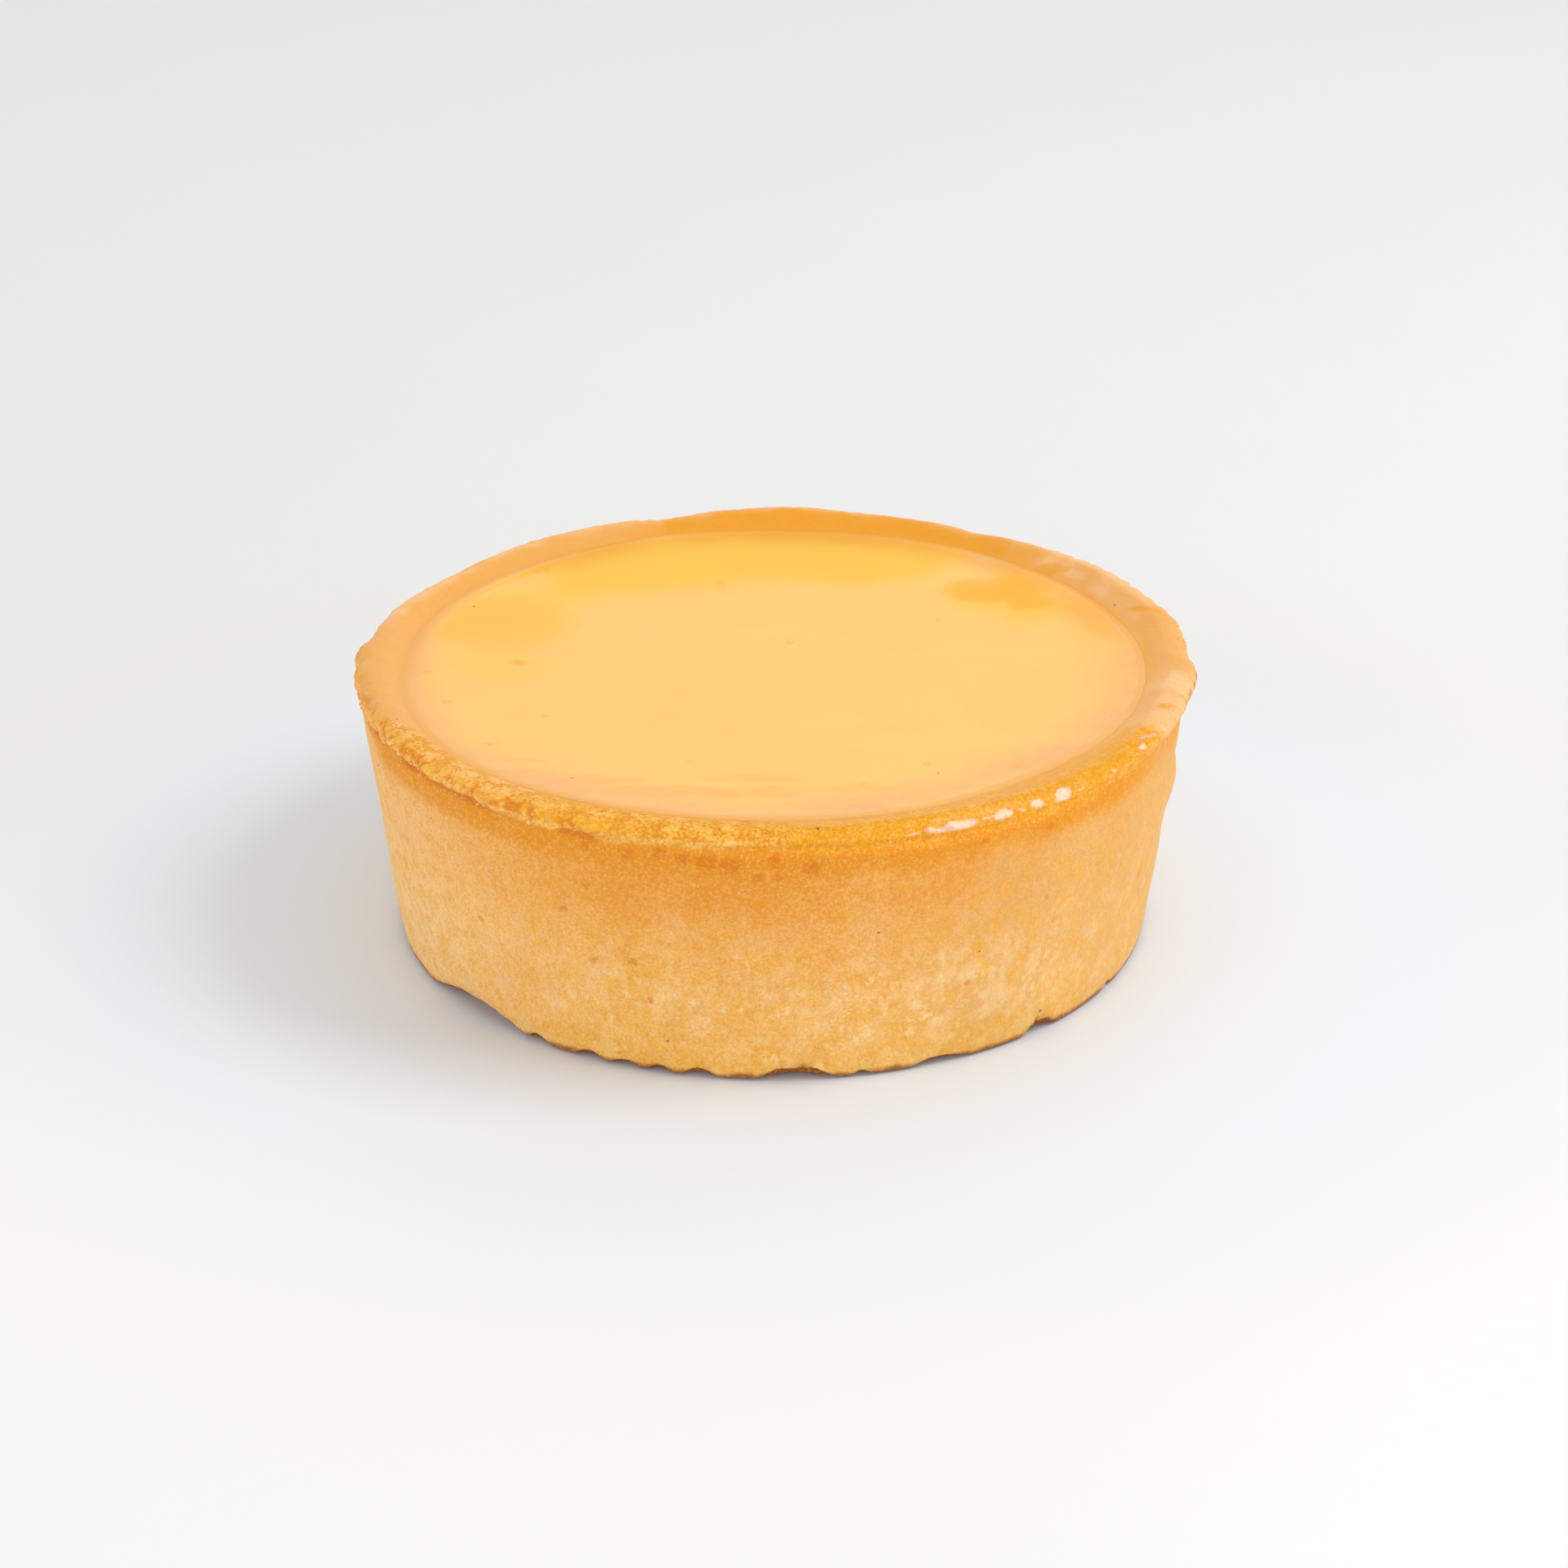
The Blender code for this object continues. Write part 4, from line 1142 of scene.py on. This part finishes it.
def build_crumbs(look):
    """Loose crumbs on the torn lip of the left front, and a few on the wall below and on the rim."""
    bm = bmesh.new()
    shift = frame_shift()
    dice = Random(7)
    for i in range(CRUMBS):
        angle = dice.triangular(178, 262, 216)
        size = dice.uniform(0.07, 0.19) * (1.5 if dice.random() < 0.12 else 1.0) * MM
        if i % 8 == 0:
            point = surface_point("wall", angle, dice.uniform(20.5, 25.0) * MM)
            size *= 0.6
        else:
            share = dice.uniform(-0.1, 0.55)
            point = Vector(place_outside(*shoulder(max(share, 0.0)), angle))
            point.z += min(share, 0.0) * 6 * MM
        add_bit(bm, point + shift, size, (1.0, dice.uniform(0.6, 1.0), dice.uniform(0.6, 0.9)),
                dice.uniform(0, pi))
    keep_inside(bm, "pastry_case")
    return make_piece("loose_crumbs", bm, crumb_material(look))


def build_specks(look):
    """A few tiny burnt specks in the crust, and one dash and two dots on the filling."""
    bm = bmesh.new()
    shift = frame_shift()
    for surface, angle, place, long, wide, lean in SPECKS:
        point = surface_point(surface, angle, place * MM) + shift
        flat = 0.45 if surface == "wall" else 0.3
        add_bit(bm, point, wide * MM, (long / wide, 1.0, flat), radians(lean))
    keep_inside(bm, "pastry_case")
    return make_piece("burnt_specks", bm, speck_material(look))


# ---------------------------------------------------------------- stage

def build_floor(look):
    """A wide plain floor under the tart."""
    bm = bmesh.new()
    bmesh.ops.create_circle(bm, cap_ends=True, segments=96, radius=FLOOR_RADIUS)
    mesh = bpy.data.meshes.new("floor")
    bm.to_mesh(mesh)
    bm.free()
    mesh.materials.append(floor_material(look))
    floor = add_object("floor", mesh)
    return floor


def build_light(look):
    """The main light: a square white soft box that looks at the tart."""
    data = bpy.data.lights.new("key", "AREA")
    data.shape = "SQUARE"
    data.size = KEY_SIZE
    data.energy = look.key_power
    light = add_object("key", data)
    towards = direction(KEY_AZIMUTH, KEY_ELEVATION)
    light.location = towards * KEY_DISTANCE + Vector((0, 0, 15 * MM))
    light.rotation_euler = towards.to_track_quat("Z", "Y").to_euler()


# Small yellow things that the filling mirrors beside the panel: azimuth and elevation of the
# middle, two half widths, all in degrees, and the strength
MIRRORED = (
    (87.75, 24.30, 0.55, 0.36, 1.0), (87.38, 24.05, 0.28, 0.26, 1.0), (87.50, 24.95, 0.30, 0.50, 0.9),
    (88.10, 25.75, 0.55, 0.40, 0.9), (86.91, 24.15, 0.26, 0.19, 1.0), (86.67, 23.79, 0.14, 0.11, 1.0),
    (93.20, 23.85, 0.75, 0.75, 0.6),
)


def build_world(look):
    """Studio surroundings: bright walls, more so at the front left, one yellow panel behind with
    small things beside it, a dim belt above the walls and a ceiling."""
    world = bpy.data.worlds.new("studio")
    bpy.context.scene.world = world
    world.use_nodes = True
    tree = world.node_tree
    coords = add_node(tree, "ShaderNodeTexCoord").outputs["Generated"]
    axes = add_node(tree, "ShaderNodeSeparateXYZ", {"Vector": coords}).outputs
    elevation = math(tree, "DEGREES", math(tree, "ARCSINE", axes["Z"]))
    azimuth = math(tree, "DEGREES", math(tree, "ARCTAN2", axes["Y"], axes["X"]))
    wobble = math(tree, "SUBTRACT", noise_of_size(tree, coords, 0.012, 2.0), 0.5)
    ragged = math(tree, "ADD", elevation, times(tree, wobble, look.panel_raggedness))
    aside = math(tree, "ADD", azimuth, times(tree, wobble, 2 * look.panel_raggedness))
    above = math(tree, "SUBTRACT", ragged, look.panel_foot)
    slanted = math(tree, "ADD", aside, times(tree, math(tree, "MINIMUM", above, 1.2), 0.86))
    sides = times(tree, ramp(tree, slanted, look.panel_right - 0.2, look.panel_right + 0.2),
                  ramp(tree, aside, look.panel_left - 0.3, look.panel_left + 0.3, 1.0, 0.0))
    panel = times(tree, ramp(tree, above, -0.1, 0.1), sides)
    for at_azimuth, at_elevation, half_azimuth, half_elevation, strength in MIRRORED:
        across = math(tree, "DIVIDE", math(tree, "SUBTRACT", azimuth, at_azimuth), half_azimuth)
        up = math(tree, "DIVIDE", math(tree, "SUBTRACT", ragged, at_elevation), half_elevation)
        away = math(tree, "SQRT", math(tree, "ADD", times(tree, across, across), times(tree, up, up)))
        panel = math(tree, "MAXIMUM", panel, ramp(tree, away, 0.7, 1.3, strength, 0.0))
    belt = ramp(tree, elevation, look.wall_top, look.wall_top + 6)
    ceiling = ramp(tree, elevation, CEILING_START, CEILING_FULL)
    leftward = math(tree, "ADD", times(tree, axes["X"], -0.82), times(tree, axes["Y"], -0.57))
    level = mix_number(tree, belt, look.wall_level, look.belt_level)
    level = math(tree, "ADD", level, times(tree, ceiling, look.ceiling_level - look.belt_level))
    level = math(tree, "ADD", level, ramp(tree, leftward, 0.2, 0.9, 0.0, look.fill_level))
    level = math(tree, "ADD", times(tree, panel, look.panel_level),
                 times(tree, level, math(tree, "SUBTRACT", 1.0, panel)))
    set_inputs(tree, tree.nodes["Background"], {
        "Color": mix_colour(tree, panel, "#ffffff", look.panel_colour), "Strength": level})


def build_camera(look):
    """The camera, from the front and above."""
    data = bpy.data.cameras.new("camera")
    data.sensor_width = 36.0
    data.lens = look.focal_length
    data.clip_start = 0.01
    camera = add_object("camera", data)
    towards = direction(270, look.camera_elevation)
    camera.location = Vector((look.camera_aside, 0.0, look.camera_height)) + towards * look.camera_distance
    camera.rotation_euler = towards.to_track_quat("Z", "Y").to_euler()
    bpy.context.scene.camera = camera


# ---------------------------------------------------------------- add-on

def colour_property(name, description, default):
    """A colour kept as an sRGB hex code."""
    return bpy.props.StringProperty(name=name, description=description, default=default)


def number_property(name, description, default, **unit):
    """A number, with its unit where one fits."""
    return bpy.props.FloatProperty(name=name, description=description, default=default, **unit)


class TartPastrySettings(bpy.types.PropertyGroup):
    """Colours of the shortcrust case."""
    crust_gold: colour_property("Crust gold", "Most of the wall", "#f8bf6a")
    crust_deep: colour_property("Crust deep gold", "Where the wall is more baked", "#f5b65c")
    # Painted light: this colour makes the wall's left side paler, as if lit from the left
    crust_pale_side_light: colour_property("Crust pale", "Floury patches of the wall", "#fed294")
    # Painted shade: this tint darkens the wall's right side
    crust_tone_side_shade: colour_property("Crust tone", "Tint of the more coloured right", "#e4e0d6")
    # This colour also paints the shade in the lines just under the lip
    crust_brown_and_shade: colour_property("Crust brown", "Baked brown under the rim", "#ea9830")
    crust_tan: colour_property("Crust tan", "Duller tan patches of the wall", "#f0b878")
    grain_orange: colour_property("Grain orange", "Finest dark grains", "#e08c28")
    fleck_cream: colour_property("Fleck cream", "Pale floury flecks of the wall", "#fdd79c")
    edge_cream: colour_property("Edge cream", "Fresh crumb at the torn lip's edge", "#ffd47e")
    # Painted highlight: this pale tint adds to the pools' real reflection of the soft box
    painted_glint_cream: colour_property("Glint cream", "Thin pale syrup in its small pools", "#f6cdb8")
    gold_tint: colour_property("Gold tint", "Tint of the deep gold front of the rim", "#fdf7a6")
    crust_yellow: colour_property("Crust yellow", "Yellower patches of the wall", "#f2b246")
    spot_orange: colour_property("Spot orange", "Small baked spots under the rim", "#e0800c")
    # Painted sheen and light on the rim, and a real tint of some paler grains
    rim_pink_and_sheen: colour_property("Rim pink", "Paler pinkish patches of the rim", "#f9c48c")
    rim_gold: colour_property("Rim gold", "Dry top of the rim", "#f9bd66")
    rim_deep: colour_property("Rim deep gold", "Darker grains of the rim", "#e28f2c")
    crumb_gold: colour_property("Crumb gold", "Torn crumb at the lip", "#fdc05a")
    # Painted shade in the torn crumb's hollows; on the loose crumbs it is a real deeper colour
    crumb_deep_and_shade: colour_property("Crumb deep", "Hollows of the torn crumb", "#e58c22")
    film_tan: colour_property("Film tan", "Skin of filling on the rim", "#ecaa55")
    glaze_orange: colour_property("Glaze orange", "Deep glaze on the back of the rim", "#eda02c")
    seam_gold: colour_property("Seam gold", "Where rim and filling meet", "#f2aa50")
    tuck_orange: colour_property("Tuck orange", "Shaded line under the lip", "#d87608")
    wet_gold: colour_property("Wet gold", "Syrup on the rim", "#f1aa20")
    wet_deep: colour_property("Wet deep gold", "Thicker syrup on the rim", "#e4960c")
    pit_brown: colour_property("Pit brown", "Inside small pits", "#c9761e")
    speck_brown: colour_property("Speck brown", "Burnt specks", "#5a3418")
    # This colour also paints the shade along the foot and in its notches
    base_brown_and_shade: colour_property("Base brown", "Baked base behind the notches of the foot", "#98521c")


class TartFillingSettings(bpy.types.PropertyGroup):
    """Colours of the lemon filling."""
    curd_yellow: colour_property("Filling yellow", "Most of the filling", "#fec04a")
    curd_deep: colour_property("Filling deep yellow", "Cloudy variation", "#fdbd47")
    curd_streak: colour_property("Streak", "Faint poured streaks", "#ffc34a")
    seam_gold: colour_property("Edge", "Where rim and filling meet", "#f2aa50")
    curd_warm: colour_property("Warm edge", "Deeper orange edge at the back", "#f0a032")
    patch_yellow_reflection: colour_property("Patch", "Deeper yellow patches", "#f9ac26")
    # Partly painted reflection of the yellow panel that the filling mirrors
    skin_tan_and_sheen: colour_property("Skin", "Dull pale skin near the edge", "#f2ae58")
    # Partly painted sheen: the pale pinkish look along the filling's edge
    bubble_amber: colour_property("Bubble", "Small amber bubbles", "#f4ab35")


class TartStageSettings(bpy.types.PropertyGroup):
    """Floor, light and camera."""
    floor_pale: colour_property("Floor pale", "The floor in front", "#f6f6f6")
    # Painted contact shadow: the floor a little darker and cooler round the tart
    floor_cool_shade: colour_property("Floor cool", "The floor round the tart", "#e6f0fa")
    # Painted falloff of the light: the floor greyer behind
    floor_grey_falloff: colour_property("Floor grey", "The floor behind", "#e9e9e9")
    key_power: number_property("Key power", "Power of the main soft box", 3.0, min=0.0, unit="POWER")
    wall_level: number_property("Wall level", "Brightness of the surroundings near the horizon", 1.25)
    belt_level: number_property("Belt level", "Brightness of the dim belt above the walls", 0.3)
    ceiling_level: number_property("Ceiling level", "Brightness overhead", 0.8)
    wall_top: number_property("Wall top", "Elevation in degrees where the bright walls end", 30.0)
    panel_colour: colour_property("Panel colour", "The panel that the filling's back mirrors", "#ffffa8")
    panel_level: number_property("Panel level", "Brightness of that panel", 0.9)
    panel_right: number_property(
        "Panel right", "Azimuth in degrees of the foot of its slanted right side", 89.1)
    panel_left: number_property("Panel left", "Azimuth in degrees of its left side", 92.65)
    fill_level: number_property(
        "Fill level", "How much brighter the surroundings are at the front left", 0.13)
    panel_foot: number_property("Panel foot", "Elevation in degrees where the panel starts", 24.15)
    panel_raggedness: number_property("Panel raggedness", "Unevenness of its edge in degrees", 0.25)
    focal_length: number_property("Focal length", "Camera lens in millimetres", 85.7)
    camera_elevation: number_property("Camera elevation", "Degrees above the floor", 24.68)
    camera_distance: number_property("Camera distance", "From the point looked at", 0.387, unit="LENGTH")
    camera_height: number_property("Aim height", "Height of the point looked at", 0.0132, unit="LENGTH")
    camera_aside: number_property(
        "Aim aside", "How far right of the middle the camera looks", 0.001, unit="LENGTH")


class TART_OT_case(bpy.types.Operator):
    """Model the shortcrust case with its rim, crumbs of relief and glaze"""
    bl_idname = "tart.case"
    bl_label = "Shortcrust case"

    def execute(self, context):
        build_case(context.scene.tart_pastry)
        return {"FINISHED"}


class TART_OT_crumbs(bpy.types.Operator):
    """Scatter loose crumbs and burnt specks"""
    bl_idname = "tart.crumbs"
    bl_label = "Crumbs and specks"

    def execute(self, context):
        build_crumbs(context.scene.tart_pastry)
        build_specks(context.scene.tart_pastry)
        return {"FINISHED"}


class TART_OT_filling(bpy.types.Operator):
    """Model the set lemon filling"""
    bl_idname = "tart.filling"
    bl_label = "Lemon filling"

    def execute(self, context):
        build_curd(context.scene.tart_filling)
        return {"FINISHED"}


class TART_OT_stage(bpy.types.Operator):
    """Set up the floor, the lights and the camera"""
    bl_idname = "tart.stage"
    bl_label = "Stage"

    def execute(self, context):
        look = context.scene.tart_stage
        context.scene.view_settings.view_transform = "Standard"
        build_floor(look)
        build_world(look)
        build_light(look)
        build_camera(look)
        return {"FINISHED"}


class TART_PT_panel(bpy.types.Panel):
    """Lists the tart's pieces"""
    bl_label = "Lemon tart"
    bl_idname = "TART_PT_panel"
    bl_space_type = "VIEW_3D"
    bl_region_type = "UI"
    bl_category = "Lemon tart"

    def draw(self, context):
        for operator in STEPS:
            self.layout.operator(operator.bl_idname)
        for group in GROUPS:
            settings = getattr(context.scene, group)
            for name in GROUPS[group].__annotations__:
                self.layout.prop(settings, name)


STEPS = (TART_OT_case, TART_OT_filling, TART_OT_crumbs, TART_OT_stage)
GROUPS = {
    "tart_pastry": TartPastrySettings,
    "tart_filling": TartFillingSettings,
    "tart_stage": TartStageSettings,
}


def register():
    """Register the classes and hang the settings on the scene."""
    for cls in (*GROUPS.values(), *STEPS, TART_PT_panel):
        bpy.utils.register_class(cls)
    for group, cls in GROUPS.items():
        setattr(bpy.types.Scene, group, bpy.props.PointerProperty(type=cls))


def unregister():
    """Undo register."""
    for group in GROUPS:
        delattr(bpy.types.Scene, group)
    for cls in (TART_PT_panel, *reversed(STEPS), *reversed(GROUPS.values())):
        bpy.utils.unregister_class(cls)


def main():
    """Register the add-on, then build everything."""
    register()
    for operator in STEPS:
        group, name = operator.bl_idname.split(".")
        getattr(getattr(bpy.ops, group), name)()


if __name__ == "__main__":
    main()
